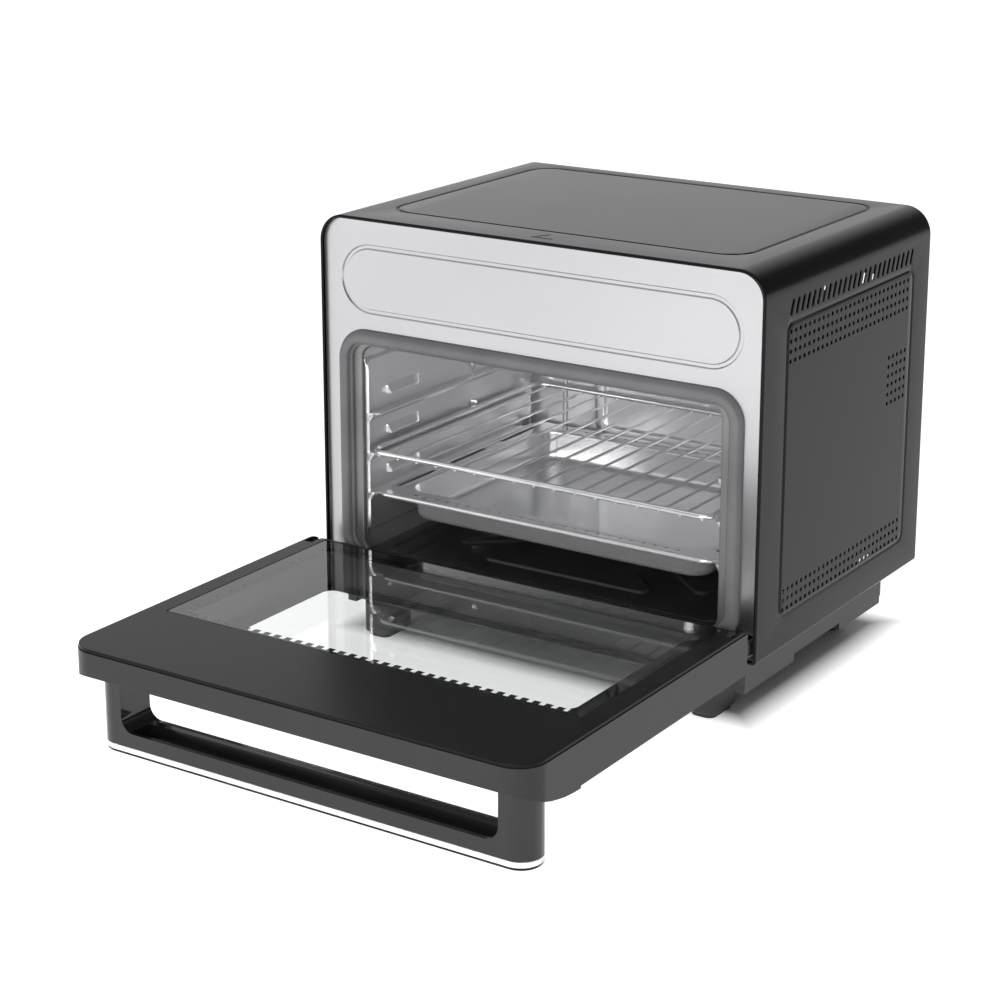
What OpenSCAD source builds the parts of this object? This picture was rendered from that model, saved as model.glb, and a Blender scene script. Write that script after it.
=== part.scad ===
// Countertop oven: a sheet-metal body with a drop-down glazed door, shown open and resting on its stop.
// The body holds a lined cavity with three rack levels, a wire rack, a baking tray, a roof fan and a cooling fan.
// Axes: +X to the user's right when facing the door, +Y from the door to the back, +Z up, feet on Z = 0.

/* [Body] */
// Overall width of the body
body_width = 430; // [425:1:440]
// Height of the body shell, feet not counted
body_height = 322; // [318:1:335]
// Depth of the body shell, door not counted
body_depth = 307; // [304:1:330]
// Outer radius of the two top edges of the shell
corner_radius = 24; // [18:1:28]
// Thickness of the painted shell sheet
shell_sheet = 0.8; // [0.6:0.1:1.2]
// Distance from the table to the bottom edge of the shell
ground_clearance = 57; // [57:1:70]

/* [Door] */
// How far the open door reaches in front of the shell
door_reach = 333; // [330:1:336]
// Thickness of the door over its glass
door_thickness = 37.5; // [36:0.5:40]
// Height of the hinge axis above the bottom edge of the shell
hinge_height = 13.8; // [13:0.1:15]
// Width of the handle
handle_width = 405; // [395:1:410]
// Distance the handle stands out from the door face
handle_reach = 51; // [46:1:53]

/* [Cavity] */
// Clear width between the pressed fields of the side walls
cavity_width = 352; // [350:1:354]
// Clear height of the door opening
opening_height = 186; // [182:1:188]
// Depth of the cavity
cavity_depth = 277; // [277:1:279]
// Distance between rack levels
level_pitch = 36; // [34:1:37]

/* [Rack and tray] */
// Number of front-to-back wires of the rack
rack_wires = 17; // [11:2:21]
// Depth of the well of the baking tray
tray_depth = 27; // [18:1:30]

/* [Hidden] */
$fn = 48;
half_width = body_width / 2;
door_inner_z = door_thickness - 2;
door_under_z = -2;
door_rear_y = -14;
door_gap = 3;
hinge_y = -(door_inner_z - hinge_height) - door_gap;
hinge_radius = door_inner_z - hinge_height;
gland_stick_out = 6;
rear_y = body_depth + gland_stick_out;
origin_y = (door_reach - rear_y) / 2;
small_gap = 0.3;
run_gap = 0.05;

// Front opening and its seal
panel_y = 4;
panel_sheet = 1.2;
panel_half = half_width - shell_sheet - small_gap;
seal_half = 197.5;
seal_top = 223.5;
seal_bottom = 11;
seal_band = 13.3;
seal_front_y = -door_gap + small_gap;
seal_mid_z = (seal_top + seal_bottom) / 2;
seal_height = seal_top - seal_bottom;
open_half = seal_half - seal_band;

// Cavity liner
liner_sheet = 0.8;
liner_front_y = 9;
liner_rear_y = liner_front_y + cavity_depth - 3;
field_half = cavity_width / 2;
field_rise = 4;
wall_half = field_half + field_rise;
cavity_floor_z = 18;
cavity_roof_z = 214;
cavity_mid_y = (liner_front_y + liner_rear_y) / 2;
rail_depth = 10;
rail_height = 9;
rail_length = 243;
rail_front_y = 11;
field_mid_z = 116;
field_high = 156;
field_long = cavity_depth - 13;
field_mid_y = liner_front_y + 2 + field_long / 2;
top_rail_z = 147;
lug_rise = 18;
clip_y = 176;
probe_reach = 16;

// Rack and tray
frame_wire = 2.5;
cross_wire = 1.25;
clip_rise = 2 * frame_wire + 0.8;
rack_half = field_half - rail_depth + 4;
rack_front_y = 9;
rack_rear_y = 278;
rack_z = top_rail_z - level_pitch + frame_wire + small_gap;
wire_pitch = 2 * (rack_half - 10) / (rack_wires - 1);
tray_half = field_half - 5;
tray_front_y = 11;
tray_rear_y = 279;
tray_z = top_rail_z - 2 * level_pitch + small_gap;
tray_sheet = 1;
tray_flange = 22;

// Roof fan, its chamber and motor
fan_y = cavity_mid_y;
chamber_radius = 92;
chamber_top_z = cavity_roof_z + 34;
shaft_radius = 4;
motor_radius = 34;
bracket_foot_z = cavity_roof_z + 1.2 - chamber_top_z;
motor_bottom_z = chamber_top_z + 8;
motor_top_z = motor_bottom_z + 38;

// Rear cooling fan
cool_x = 140;
cool_z = 268;
cool_size = 80;
cool_depth = 22;
cool_rear_y = body_depth - 5;

// Power board, hung from the top of the shell
board_z = 240;
board_sheet = 1.6;

// Door details
glass_half = 197;
glass_front_y = -233.9;
glass_rear_y = -23.5;
glass_thick = 4;
housing_y = -264;
housing_drop = 2;
housing_curve = 150;
curve_steps = 7;
panel_thick = 3;
door_corner = corner_radius;
display_half = 90;
display_z = door_under_z + glass_thick + 0.2;
arm_x = 208;
arm_thick = 3;
slot_half = 4;
pin_radius = 3;
pin_length = 14;

// Handle
handle_front_y = -(door_reach - 19);
handle_depth = 34;
handle_bottom_z = -(handle_reach + 4);
handle_mid_y = handle_front_y + handle_depth / 2;
grip_gap_half = 177;
handle_screw_x = (grip_gap_half + handle_width / 2) / 2;
grip_top_z = handle_bottom_z + 19;
trim_height = 5;
face_height = 2;

// Base and feet
base_half = 200;
base_front_y = 6;
base_rear_y = 275;
base_drop = 25;
skid_drop = 31.5;
base_wall = 2;
foot_x = 164;

// Side vents
vent_front_y = 45;
vent_pitch = 8.1;
press_depth = 0.3;
vent_radius = 1.6;
slot_pitch = 9.3;

// ---- helpers -------------------------------------------------------------------------------------------------

// Moves the model from its working origin, at the shell's front bottom edge, to the middle of its footprint.
module place() {
    translate([0, origin_y, ground_clearance]) children();
}

// A flat shape in X and Z, pulled from y0 to y1.
module along_y(y0, y1) {
    translate([0, y1, 0]) rotate([90, 0, 0]) linear_extrude(y1 - y0) children();
}

// A flat shape in Y and Z, pulled from x0 to x1.
module along_x(x0, x1) {
    translate([x0, 0, 0]) rotate([90, 0, 90]) linear_extrude(x1 - x0) children();
}

// A box given by its two opposite corners.
module box(low, high) {
    translate(low) cube(high - low);
}

// A flat rounded rectangle about its centre.
module round_rect(w, h, r) {
    square([w - 2 * r, h], center = true);
    square([w, h - 2 * r], center = true);
    for (sx = [-1, 1]) {
        for (sy = [-1, 1]) {
            translate([sx * (w / 2 - r), sy * (h / 2 - r)]) circle(r);
        }
    }
}

// A flat rectangle from z = z0 to z1 whose two upper corners are round.
module arch_rect(half, z0, z1, r) {
    translate([-half, z0]) square([2 * half, z1 - z0 - r]);
    translate([-half + r, z0]) square([2 * (half - r), z1 - z0]);
    for (s = [-1, 1]) {
        translate([s * (half - r), z1 - r]) circle(r);
    }
}

// The same on both sides of the body.
module both_sides() {
    children();
    mirror([1, 0, 0]) children();
}

// A screw with its head at z = 0 pointing up and its shank going down.
module screw(head_r, head_h, shank_r, length) {
    cylinder(r = head_r, h = head_h);
    translate([0, 0, -length]) cylinder(r = shank_r, h = length + head_h / 2);
}

// ---- body ----------------------------------------------------------------------------------------------------

// One row-and-column field of round holes, as a flat shape in Y and Z.
module hole_field(y0, z0, columns, rows) {
    for (i = [0 : columns - 1]) {
        for (j = [0 : rows - 1]) {
            translate([y0 + i * vent_pitch, z0 + j * vent_pitch]) circle(vent_radius, $fn = 16);
        }
    }
}

// The slanted louvre slots, as a flat shape in Y and Z.
module slanted_slots() {
    for (i = [0 : 24]) {
        translate([45.7 + i * slot_pitch, body_height - 36]) rotate(-20) round_rect(3, 13, 1.49);
    }
}

module side_sheet() {
    along_x(half_width - shell_sheet, half_width) difference() {
        square([body_depth, body_height - corner_radius]);
        slanted_slots();
        hole_field(vent_front_y, body_height - 80, 28, 4);
        hole_field(vent_front_y + 23 * vent_pitch, body_height - 158, 5, 6);
        hole_field(vent_front_y, 34, 28, 3);
    }
}

// The outline of the field pressed into each side, as a flat band in Y and Z.
module side_outline() {
    translate([157, body_height / 2 - 10]) difference() {
        round_rect(240, 250, 10);
        round_rect(235, 245, 7.5);
    }
}

module outer_shell() color([0.12, 0.12, 0.13]) place() difference() {
    shell_wrap();
    both_sides() along_x(half_width - press_depth, half_width + 1) side_outline();
    translate([0, 164, body_height - press_depth]) linear_extrude(2) difference() {
        round_rect(349, 253, 25);
        round_rect(344, 248, 22.5);
    }
}

module shell_wrap() {
    along_y(0, body_depth) difference() {
        intersection() {
            arch_rect(half_width, 0, body_height, corner_radius);
            translate([-half_width, body_height - corner_radius]) square([body_width, corner_radius]);
        }
        arch_rect(half_width - shell_sheet, -1, body_height - shell_sheet, corner_radius - shell_sheet);
    }
    both_sides() {
        side_sheet();
        box([half_width - 10, 1, 0], [half_width - shell_sheet, body_depth - 1, shell_sheet]);
    }
}

module rear_cover() color([0.12, 0.12, 0.13]) place() difference() {
    union() {
        along_y(body_depth - 3, body_depth - 2) rear_outline(0);
        along_y(body_depth - 14, body_depth - 2) difference() {
            rear_outline(0);
            rear_outline(1);
        }
    }
    for (i = [-7 : 7]) {
        translate([i * 9 - 60, 0, 255]) along_y(body_depth - 4, body_depth) round_rect(3.2, 44, 1.59);
        translate([i * 9 - 60, 0, 90]) along_y(body_depth - 4, body_depth) round_rect(3.2, 44, 1.59);
    }
    for (i = [-4 : 4]) {
        translate([cool_x + i * 7.5, 0, cool_z]) along_y(body_depth - 4, body_depth) round_rect(4, 62, 1.99);
    }
    translate([-150, 0, 30]) along_y(body_depth - 4, body_depth) circle(8.2);
    for (p = rear_screw_spots()) {
        translate([p[0], 0, p[1]]) along_y(body_depth - 4, body_depth) circle(1.9);
    }
}

module rear_outline(inset) {
    arch_rect(panel_half - inset, 2 + inset, body_height - shell_sheet - small_gap - inset,
              corner_radius - shell_sheet - small_gap - inset);
}

function rear_screw_spots() = [for (sx = [-1, 1]) for (z = [20, 150, 290]) [sx * (half_width - 12), z]];

module rear_screws() color([0.2, 0.2, 0.2]) place() {
    for (p = rear_screw_spots()) {
        translate([p[0], body_depth - 2, p[1]]) rotate([-90, 0, 0]) screw(3.5, 1.8, 1.8, 9);
    }
}

module front_panel() color([0.78, 0.78, 0.79]) place() difference() {
    union() {
        along_y(panel_y, panel_y + panel_sheet) difference() {
            arch_rect(panel_half, 1.5, body_height - shell_sheet - small_gap,
                      corner_radius - shell_sheet - small_gap);
            translate([0, seal_mid_z]) round_rect(2 * open_half, opening_height, 14);
        }
        along_y(panel_y, panel_y + 12) difference() {
            arch_rect(panel_half, 1.5, body_height - shell_sheet - small_gap,
                      corner_radius - shell_sheet - small_gap);
            arch_rect(panel_half - 1, 0, body_height - shell_sheet - small_gap - 1,
                      corner_radius - shell_sheet - small_gap - 1);
        }
    }
    // The pressed outline above the opening
    along_y(panel_y - 1, panel_y + 0.4) translate([0, 268]) difference() {
        round_rect(390, 61, 30.4);
        round_rect(381, 52, 25.9);
    }
    both_sides() box([arm_x - slot_half, panel_y - 1, 4], [arm_x + slot_half, panel_y + 13, 24]);
}

module door_gasket() color([0.42, 0.42, 0.43]) place() {
    along_y(panel_y - 2, panel_y) seal_ring(0, seal_band);
    along_y(seal_front_y, panel_y - 1) seal_ring(2, 4);
    along_y(seal_front_y + 1.2, panel_y - 1) seal_ring(8, 3.5);
}

// A band of the seal's outline, from inset to inset + width.
module seal_ring(inset, width) {
    translate([0, seal_mid_z]) difference() {
        round_rect(2 * (seal_half - inset), seal_height - 2 * inset, 27 - inset);
        round_rect(2 * (seal_half - inset - width), seal_height - 2 * (inset + width), 27 - inset - width);
    }
}

module cavity_front_frame() color([0.6, 0.6, 0.61]) place() {
    along_y(panel_y + panel_sheet + 0.2, panel_y + panel_sheet + 1.2) difference() {
        translate([0, seal_mid_z]) round_rect(2 * seal_half, seal_height - 4, 20);
        translate([0, seal_mid_z - 3]) round_rect(2 * field_half, opening_height + 2, 12);
    }
    along_y(panel_y + panel_sheet + 0.2, liner_front_y - 0.2) translate([0, seal_mid_z - 3]) difference() {
        round_rect(2 * field_half + 2, opening_height + 4, 13);
        round_rect(2 * field_half, opening_height + 2, 12);
    }
}

// One pressed rack rail: a ledge whose underside slopes back to the wall.
module rail(z) {
    along_y(rail_front_y, rail_front_y + rail_length) {
        polygon([[field_half + 1, z], [field_half - rail_depth + 1, z], [field_half - rail_depth, z - 1],
                 [field_half - rail_depth, z - 2], [field_half, z - rail_height], [field_half + 1, z - rail_height]]);
    }
}

// One short stop above a rail, a wedge in section.
module lug(z) {
    along_y(40, 90) {
        polygon([[field_half + 0.4, z], [field_half, z], [field_half - 5, z - 5], [field_half - 5, z - 6],
                 [field_half, z - 8], [field_half + 0.4, z - 8]]);
    }
}

// The right wall. The left wall is its mirror image.
module cavity_side() {
    box([wall_half, liner_front_y, cavity_floor_z - 2], [wall_half + liner_sheet, liner_rear_y, cavity_roof_z]);
    along_x(field_half, wall_half + liner_sheet / 2) translate([field_mid_y, field_mid_z]) difference() {
        round_rect(field_long, field_high, 10);
        round_rect(field_long - 2 * field_rise, field_high - 2 * field_rise, 6);
    }
    along_x(field_half, field_half + liner_sheet) translate([field_mid_y, field_mid_z]) {
        round_rect(field_long, field_high, 10);
    }
    for (level = [0 : 2]) {
        rail(top_rail_z - level * level_pitch);
        lug(top_rail_z + lug_rise - level * level_pitch);
    }
    for (level = [0 : 1]) {
        box([field_half - 6, clip_y - 2, top_rail_z - level * level_pitch + clip_rise],
            [field_half + 0.4, clip_y + 2, top_rail_z - level * level_pitch + clip_rise + 4.5]);
    }
}

module cavity_right_wall() color([0.66, 0.66, 0.67]) place() cavity_side();

module cavity_left_wall() color([0.66, 0.66, 0.67]) place() mirror([1, 0, 0]) cavity_side();

module cavity_roof() color([0.66, 0.66, 0.67]) place() {
    translate([0, 0, cavity_roof_z + 0.2]) linear_extrude(liner_sheet) difference() {
        translate([-wall_half - 4, liner_front_y]) square([2 * wall_half + 8, cavity_depth - 3]);
        translate([0, fan_y]) circle(chamber_radius - 6);
    }
}

module cavity_rear_wall() color([0.66, 0.66, 0.67]) place() {
    along_y(liner_rear_y + 0.2, liner_rear_y + 0.2 + liner_sheet) {
        translate([-wall_half - 4, cavity_floor_z - 2]) square([2 * wall_half + 8, cavity_roof_z - cavity_floor_z + 2]);
    }
    along_y(liner_rear_y - 1.6, liner_rear_y + 0.6) translate([0, 122]) difference() {
        round_rect(212, 100, 16);
        round_rect(204, 92, 12);
    }
    for (sx = [-1, 1]) {
        box([sx * 141 - 1.5, liner_rear_y - 1.2, 60], [sx * 141 + 1.5, liner_rear_y + 0.6, 190]);
    }
}

// A flat sheet with four raised fields parted by channels that run to the corners.
module cavity_floor() color([0.07, 0.07, 0.07]) place() {
    translate([0, 0, cavity_floor_z - 2]) linear_extrude(2) {
        translate([-wall_half + 0.2, liner_front_y]) square([2 * wall_half - 0.4, cavity_depth - 3.2]);
    }
    translate([0, cavity_mid_y, cavity_floor_z - 0.5]) linear_extrude(3) {
        for (s = [-1, 1]) {
            polygon([[-92, s * 94], [92, s * 94], [45, s * 50], [-45, s * 50]]);
            polygon([[s * 126, -76], [s * 126, 76], [s * 78, 35], [s * 78, -35]]);
        }
    }
}

module fan_cover() color([0.6, 0.6, 0.6]) place() translate([0, fan_y, cavity_roof_z - 1.2]) difference() {
    cylinder(r = chamber_radius, h = 1.2);
    for (a = [0 : 10 : 350]) {
        rotate(a) translate([52, 0, -1]) linear_extrude(4) round_rect(36, 4, 1.99);
    }
    for (a = [0 : 30 : 330]) {
        rotate(a) translate([20, 0, -1]) cylinder(r = 3, h = 4, $fn = 16);
    }
}

module fan_chamber() color([0.6, 0.6, 0.6]) place() {
    translate([0, fan_y, cavity_roof_z + liner_sheet + 0.4]) difference() {
        cylinder(r = chamber_radius + 6, h = 1);
        translate([0, 0, -1]) cylinder(r = chamber_radius - 6, h = 4);
    }
    translate([0, fan_y, cavity_roof_z + liner_sheet + 0.4]) difference() {
        cylinder(r = chamber_radius - 5, h = chamber_top_z - cavity_roof_z - liner_sheet - 0.4);
        translate([0, 0, -1]) cylinder(r = chamber_radius - 6, h = chamber_top_z - cavity_roof_z - liner_sheet - 0.4);
        translate([0, 0, -1]) cylinder(r = shaft_radius + 4, h = 60);
        for (s = [-1, 1]) {
            translate([s * 14, -70, -1]) cylinder(r = 4.2, h = 60);
        }
    }
}

module upper_heating_element() color([0.35, 0.33, 0.32]) place() {
    translate([0, fan_y, cavity_roof_z + 11]) {
        difference() {
            rotate_extrude() translate([74, 0]) circle(3.2);
            box([-14, -90, -5], [14, -60, 5]);
        }
        for (s = [-1, 1]) {
            translate([s * 14, -70.2, -4]) cylinder(r = 3.2, h = 50);
        }
    }
}

module lower_heating_element() color([0.35, 0.33, 0.32]) place() {
    translate([0, cavity_mid_y, cavity_floor_z - 7]) {
        for (s = [-1, 1]) {
            translate([-110, s * 60, 0]) rotate([0, 90, 0]) cylinder(r = 3.2, h = 220);
        }
        difference() {
            translate([110, 0, 0]) rotate_extrude() translate([60, 0]) circle(3.2);
            box([40, -70, -5], [110, 70, 5]);
        }
    }
}

module insulation_boards() color([0.85, 0.82, 0.7]) place() {
    both_sides() box([wall_half + 5, 20, 20], [wall_half + 13, liner_rear_y - 4, 205]);
    box([-160, liner_rear_y + 2.5, 45], [160, liner_rear_y + 9.5, 205]);
    translate([0, 0, cavity_roof_z + 2.6]) linear_extrude(8) difference() {
        translate([-178, 22]) square([356, 250]);
        translate([0, fan_y]) circle(chamber_radius + 20);
    }
}

module temperature_probe() color([0.7, 0.7, 0.7]) place() translate([-150, liner_rear_y - probe_reach, 185]) {
    rotate([-90, 0, 0]) cylinder(r = 1.8, h = probe_reach - 0.5);
}

module thermal_cutout() color([0.75, 0.72, 0.62]) place() translate([0, fan_y - 46, chamber_top_z + 0.4]) {
    cylinder(r = 8, h = 6);
    translate([0, 0, 3]) cube([24, 5, 1.5], center = true);
}

// A bridge over the fan chamber that carries the motor.
module motor_bracket() color([0.62, 0.62, 0.64]) place() translate([0, fan_y, chamber_top_z]) difference() {
    union() {
        box([-chamber_radius - 16, -12, 6], [chamber_radius + 16, 12, 7.6]);
        for (s = [-1, 1]) {
            box([s * (chamber_radius + 15) - 1, -12, bracket_foot_z], [s * (chamber_radius + 15) + 1, 12, 7]);
        }
    }
    cylinder(r = shaft_radius + 3, h = 20);
}

module fan_motor() color([0.5, 0.5, 0.52]) place() translate([0, fan_y, motor_bottom_z]) difference() {
    union() {
        cylinder(r = motor_radius, h = motor_top_z - motor_bottom_z);
        box([-motor_radius - 6, -24, 10], [motor_radius + 6, 24, 28]);
    }
    translate([0, 0, -1]) cylinder(r = shaft_radius + run_gap, h = 25);
}

module fan_shaft() color([0.7, 0.7, 0.72]) place() translate([0, fan_y, cavity_roof_z + 6]) {
    cylinder(r = shaft_radius, h = motor_bottom_z + 20 - cavity_roof_z - 6);
}

module fan_impeller() color([0.66, 0.66, 0.68]) place() translate([0, fan_y, cavity_roof_z + 8]) difference() {
    union() {
        cylinder(r = 12, h = 20);
        translate([0, 0, 18.5]) cylinder(r = 62, h = 1.5);
        for (a = [0 : 30 : 330]) {
            rotate(a) translate([26, 0, 2]) rotate(18) cube([34, 1.4, 17]);
        }
    }
    translate([0, 0, -1]) cylinder(r = shaft_radius, h = 30);
}

module cooling_fan_housing() color([0.1, 0.1, 0.1]) place() {
    translate([cool_x, cool_rear_y, cool_z]) rotate([90, 0, 0]) difference() {
        union() {
            linear_extrude(cool_depth) difference() {
                round_rect(cool_size, cool_size, 5);
                circle(cool_size / 2 - 2);
            }
            cylinder(r = 14, h = 5);
            linear_extrude(2.5) {
                square([cool_size - 3, 5], center = true);
                square([5, cool_size - 3], center = true);
            }
        }
        translate([0, 0, 1]) cylinder(r = 1.5 + run_gap, h = 10);
    }
}

module cooling_impeller() color([0.14, 0.14, 0.15]) place() {
    translate([cool_x, cool_rear_y, cool_z]) rotate([90, 0, 0]) difference() {
        union() {
            translate([0, 0, 5.6]) cylinder(r = 14, h = 14);
            for (a = [0 : 360 / 7 : 350]) {
                rotate(a) translate([12, 0, 12]) rotate([35, 0, 0]) translate([0, -9, -1]) cube([22, 18, 2]);
            }
        }
        translate([0, 0, 5]) cylinder(r = 1.5, h = 12);
    }
}

module cooling_shaft() color([0.7, 0.7, 0.72]) place() {
    translate([cool_x, cool_rear_y - 1.5, cool_z]) rotate([90, 0, 0]) cylinder(r = 1.5, h = 14);
}

module power_board() color([0.1, 0.35, 0.2]) place() {
    box([-198, 60, board_z], [-122, 220, board_z + board_sheet]);
}

module power_components() color([0.2, 0.2, 0.22]) place() {
    top_z = board_z + board_sheet;
    // Transformer, four relays, two capacitors and the terminal strip
    box([-192, 72, top_z], [-164, 102, top_z + 25]);
    for (i = [0 : 3]) {
        box([-156, 72 + i * 24, top_z], [-138, 90 + i * 24, top_z + 15]);
    }
    for (i = [0 : 1]) {
        translate([-180, 130 + i * 26, top_z]) cylinder(r = 9, h = 24);
    }
    box([-180, 186, top_z], [-136, 206, top_z + 14]);
}

module board_standoffs() color([0.7, 0.7, 0.7]) place() {
    top_z = board_z + board_sheet;
    for (x = [-188, -128]) {
        for (y = [65, 215]) {
            translate([x, y, top_z]) cylinder(r = 3, h = body_height - shell_sheet - top_z - 0.2);
        }
    }
}

module cord_gland() color([0.05, 0.05, 0.05]) place() translate([-150, body_depth, 30]) {
    rotate([-90, 0, 0]) difference() {
        union() {
            translate([0, 0, -2]) cylinder(r = 12, h = gland_stick_out + 2);
            translate([0, 0, -16]) cylinder(r = 8, h = 15);
        }
        translate([0, 0, -20]) cylinder(r = 4, h = 40);
    }
}

// ---- base and feet ---------------------------------------------------------------------------------------------

module base_pan() color([0.16, 0.16, 0.16]) place() difference() {
    union() {
        translate([0, 0, -base_drop]) linear_extrude(base_drop - 0.2) base_outline(0);
        both_sides() {
            box([base_half - 9, base_front_y + 6, -skid_drop], [base_half, 100, -10]);
            box([base_half - 9, 186, -skid_drop], [base_half, base_rear_y - 8, -10]);
        }
    }
    translate([0, 0, -base_drop + base_wall]) linear_extrude(base_drop) base_outline(base_wall);
    for (i = [-9 : 9]) {
        translate([i * 12, 200, -base_drop - 1]) linear_extrude(4) round_rect(4, 70, 1.99);
    }
    for (x = [-base_half + 14, base_half - 14]) {
        for (y = [30, 140, 255]) {
            translate([x, y, -base_drop - 1]) cylinder(r = 1.9, h = 4);
        }
    }
}

module base_outline(inset) {
    translate([0, (base_front_y + base_rear_y) / 2]) {
        round_rect(2 * (base_half - inset), base_rear_y - base_front_y - 2 * inset, 8 - inset);
    }
}

module base_screws() color([0.3, 0.3, 0.3]) place() {
    for (x = [-base_half + 14, base_half - 14]) {
        for (y = [30, 140, 255]) {
            translate([x, y, -base_drop]) rotate([180, 0, 0]) screw(3.4, 1.8, 1.8, 20);
        }
    }
}

module front_feet() color([0.15, 0.15, 0.15]) place() {
    both_sides() translate([foot_x, 23, -ground_clearance + 4]) {
        linear_extrude(ground_clearance - 4 - base_drop - 0.2) round_rect(28, 42, 9);
    }
}

module front_foot_pads() color([0.08, 0.08, 0.08]) place() {
    both_sides() translate([foot_x, 23, -ground_clearance]) linear_extrude(3.8) round_rect(22, 36, 7);
}

module rear_feet() color([0.08, 0.08, 0.08]) place() {
    both_sides() translate([foot_x - 3, 248, -ground_clearance]) {
        cylinder(r = 9, h = 6);
        translate([0, 0, 4]) cylinder(r = 12, h = ground_clearance - base_drop - 4.2);
    }
}

// ---- hinges ------------------------------------------------------------------------------------------------------

// A flat steel arm that leaves the body through the front panel and ends in an eye for the pin.
module hinge_bracket() {
    along_x(arm_x - arm_thick / 2, arm_x + arm_thick / 2) difference() {
        union() {
            translate([hinge_y, hinge_height - 6]) square([60 - hinge_y, 12]);
            translate([hinge_y, hinge_height]) circle(8);
            translate([20, 3]) square([44, 70]);
        }
        translate([hinge_y, hinge_height]) circle(pin_radius);
    }
    difference() {
        box([arm_x - 12, 20, 58], [arm_x, 64, 60]);
        for (y = [30, 54]) {
            translate([arm_x - 8, y, 50]) cylinder(r = 1.6, h = 20);
        }
    }
}

module hinge_bracket_right() color([0.6, 0.6, 0.62]) place() hinge_bracket();

module hinge_bracket_left() color([0.6, 0.6, 0.62]) place() mirror([1, 0, 0]) hinge_bracket();

module bracket_screws() color([0.5, 0.5, 0.52]) place() {
    both_sides() {
        for (y = [30, 54]) {
            translate([arm_x - 8, y, 60]) screw(3, 1.6, 1.5, 8);
        }
    }
}

module hinge_pins() color([0.7, 0.7, 0.72]) place() {
    both_sides() along_x(arm_x - 8.5, arm_x - 8.5 + pin_length) {
        translate([hinge_y, hinge_height]) circle(pin_radius);
    }
}

// Closely wound turns around each hinge pin, between the arm and the door's hinge block.
module hinge_springs() color([0.45, 0.45, 0.46]) place() {
    both_sides() translate([arm_x + 1.9, hinge_y, hinge_height]) {
        for (turn = [0 : 1]) {
            translate([0.5 + turn * 0.8, 0, 0]) rotate([0, 90, 0]) {
                rotate_extrude() translate([4.2, 0]) circle(0.5, $fn = 16);
            }
        }
    }
}

// ---- door --------------------------------------------------------------------------------------------------------

// Height of the control end's underside, an arc from its inner edge up to the far edge of the door.
function underside(y) = door_under_z - housing_drop + housing_curve
    - sqrt(pow(housing_curve, 2) - pow(y - housing_y, 2));

// The area between that underside, moved by shift, and a level, in Y and Z. The arc is drawn in flat steps.
module control_end_area(shift, level) {
    spots = [for (i = [0 : curve_steps]) housing_y - i * (door_reach + 1 + housing_y) / curve_steps];
    polygon(concat([for (y = spots) [y, underside(y) + shift]], [[-door_reach - 1, level], [housing_y, level]]));
}

// Side view of the door as an area in Y and Z. The control end is proud of the glass and curves to the far edge.
module door_profile(inset) {
    difference() {
        translate([-door_reach + inset, door_under_z - housing_drop + inset]) {
            square([door_reach + hinge_y - inset, door_thickness + housing_drop - 2 * inset]);
        }
        translate([housing_y, door_under_z - housing_drop - 1]) square([300, housing_drop + 1 + inset]);
        control_end_area(inset, -60);
    }
    intersection() {
        translate([hinge_y, hinge_height]) circle(hinge_radius - inset);
        translate([hinge_y - 1, door_under_z + inset]) square([door_rear_y - hinge_y + 1 - inset, 60]);
    }
}

// Top view of the door, its two far corners round.
module door_outline(inset) {
    rotate(180) translate([0, 0]) {
        arch_rect(half_width - inset, -door_rear_y + inset, door_reach - inset, door_corner - inset);
    }
}

module hinge_slots() {
    both_sides() {
        box([arm_x - slot_half, hinge_y - 10, 3], [arm_x + slot_half, 0, 60]);
        box([arm_x - slot_half - 6.2, hinge_y - 10, 3], [arm_x - slot_half + 1, door_rear_y - 1.5, 30]);
        along_x(arm_x - 20, arm_x + 5.8) translate([hinge_y, hinge_height]) circle(pin_radius + run_gap);
    }
}

module door_frame() color([0.2, 0.2, 0.2]) place() difference() {
    intersection() {
        along_x(-half_width, half_width) door_profile(0);
        translate([0, 0, -20]) linear_extrude(20 + door_inner_z - panel_thick - 0.1) door_outline(0);
    }
    box([-190, -226, -10], [190, -36, 60]);
    box([-208, -262, -10], [208, -20, door_under_z + glass_thick + 0.2]);
    box([-204, -324, 14], [204, -270, 60]);
    box([-198, -235, door_inner_z - glass_thick - 1], [198, -22.8, 60]);
    hinge_slots();
    box([-display_half - 20, -259, 0], [display_half + 20, -238, 20]);
    for (s = [-1, 1]) {
        for (y = [-8, 8]) {
            translate([s * handle_screw_x, handle_mid_y + y, -20]) cylinder(r = 2.1, h = 60);
        }
    }
}

module door_inner_panel() color([0.04, 0.04, 0.04]) place() difference() {
    intersection() {
        along_x(-half_width, half_width) door_profile(0);
        translate([0, 0, door_inner_z - panel_thick]) linear_extrude(panel_thick + 1) difference() {
            door_outline(0.8);
            translate([-glass_half - small_gap, glass_front_y - small_gap]) {
                square([2 * (glass_half + small_gap), glass_rear_y - glass_front_y + 2 * small_gap]);
            }
        }
    }
    hinge_slots();
}

module door_inner_glass() color([0.2, 0.22, 0.22, 0.35]) place() {
    box([-glass_half, glass_front_y, door_inner_z - glass_thick], [glass_half, glass_rear_y, door_inner_z - 0.1]);
}

module door_outer_glass() color([0.2, 0.22, 0.22, 0.35]) place() {
    box([-207.7, -261.7, door_under_z], [207.7, -20.3, door_under_z + glass_thick]);
}

// The display lies behind the printed strip of the outer glass, between the window and the handle.
module touch_display() color([0.03, 0.03, 0.03]) place() {
    box([-display_half, -258, display_z], [display_half, -240, display_z + 2]);
}

module control_board() color([0.1, 0.35, 0.2]) place() {
    box([-display_half - 15, -258, display_z + 4], [display_half + 15, -239, display_z + 5.6]);
}

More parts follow.
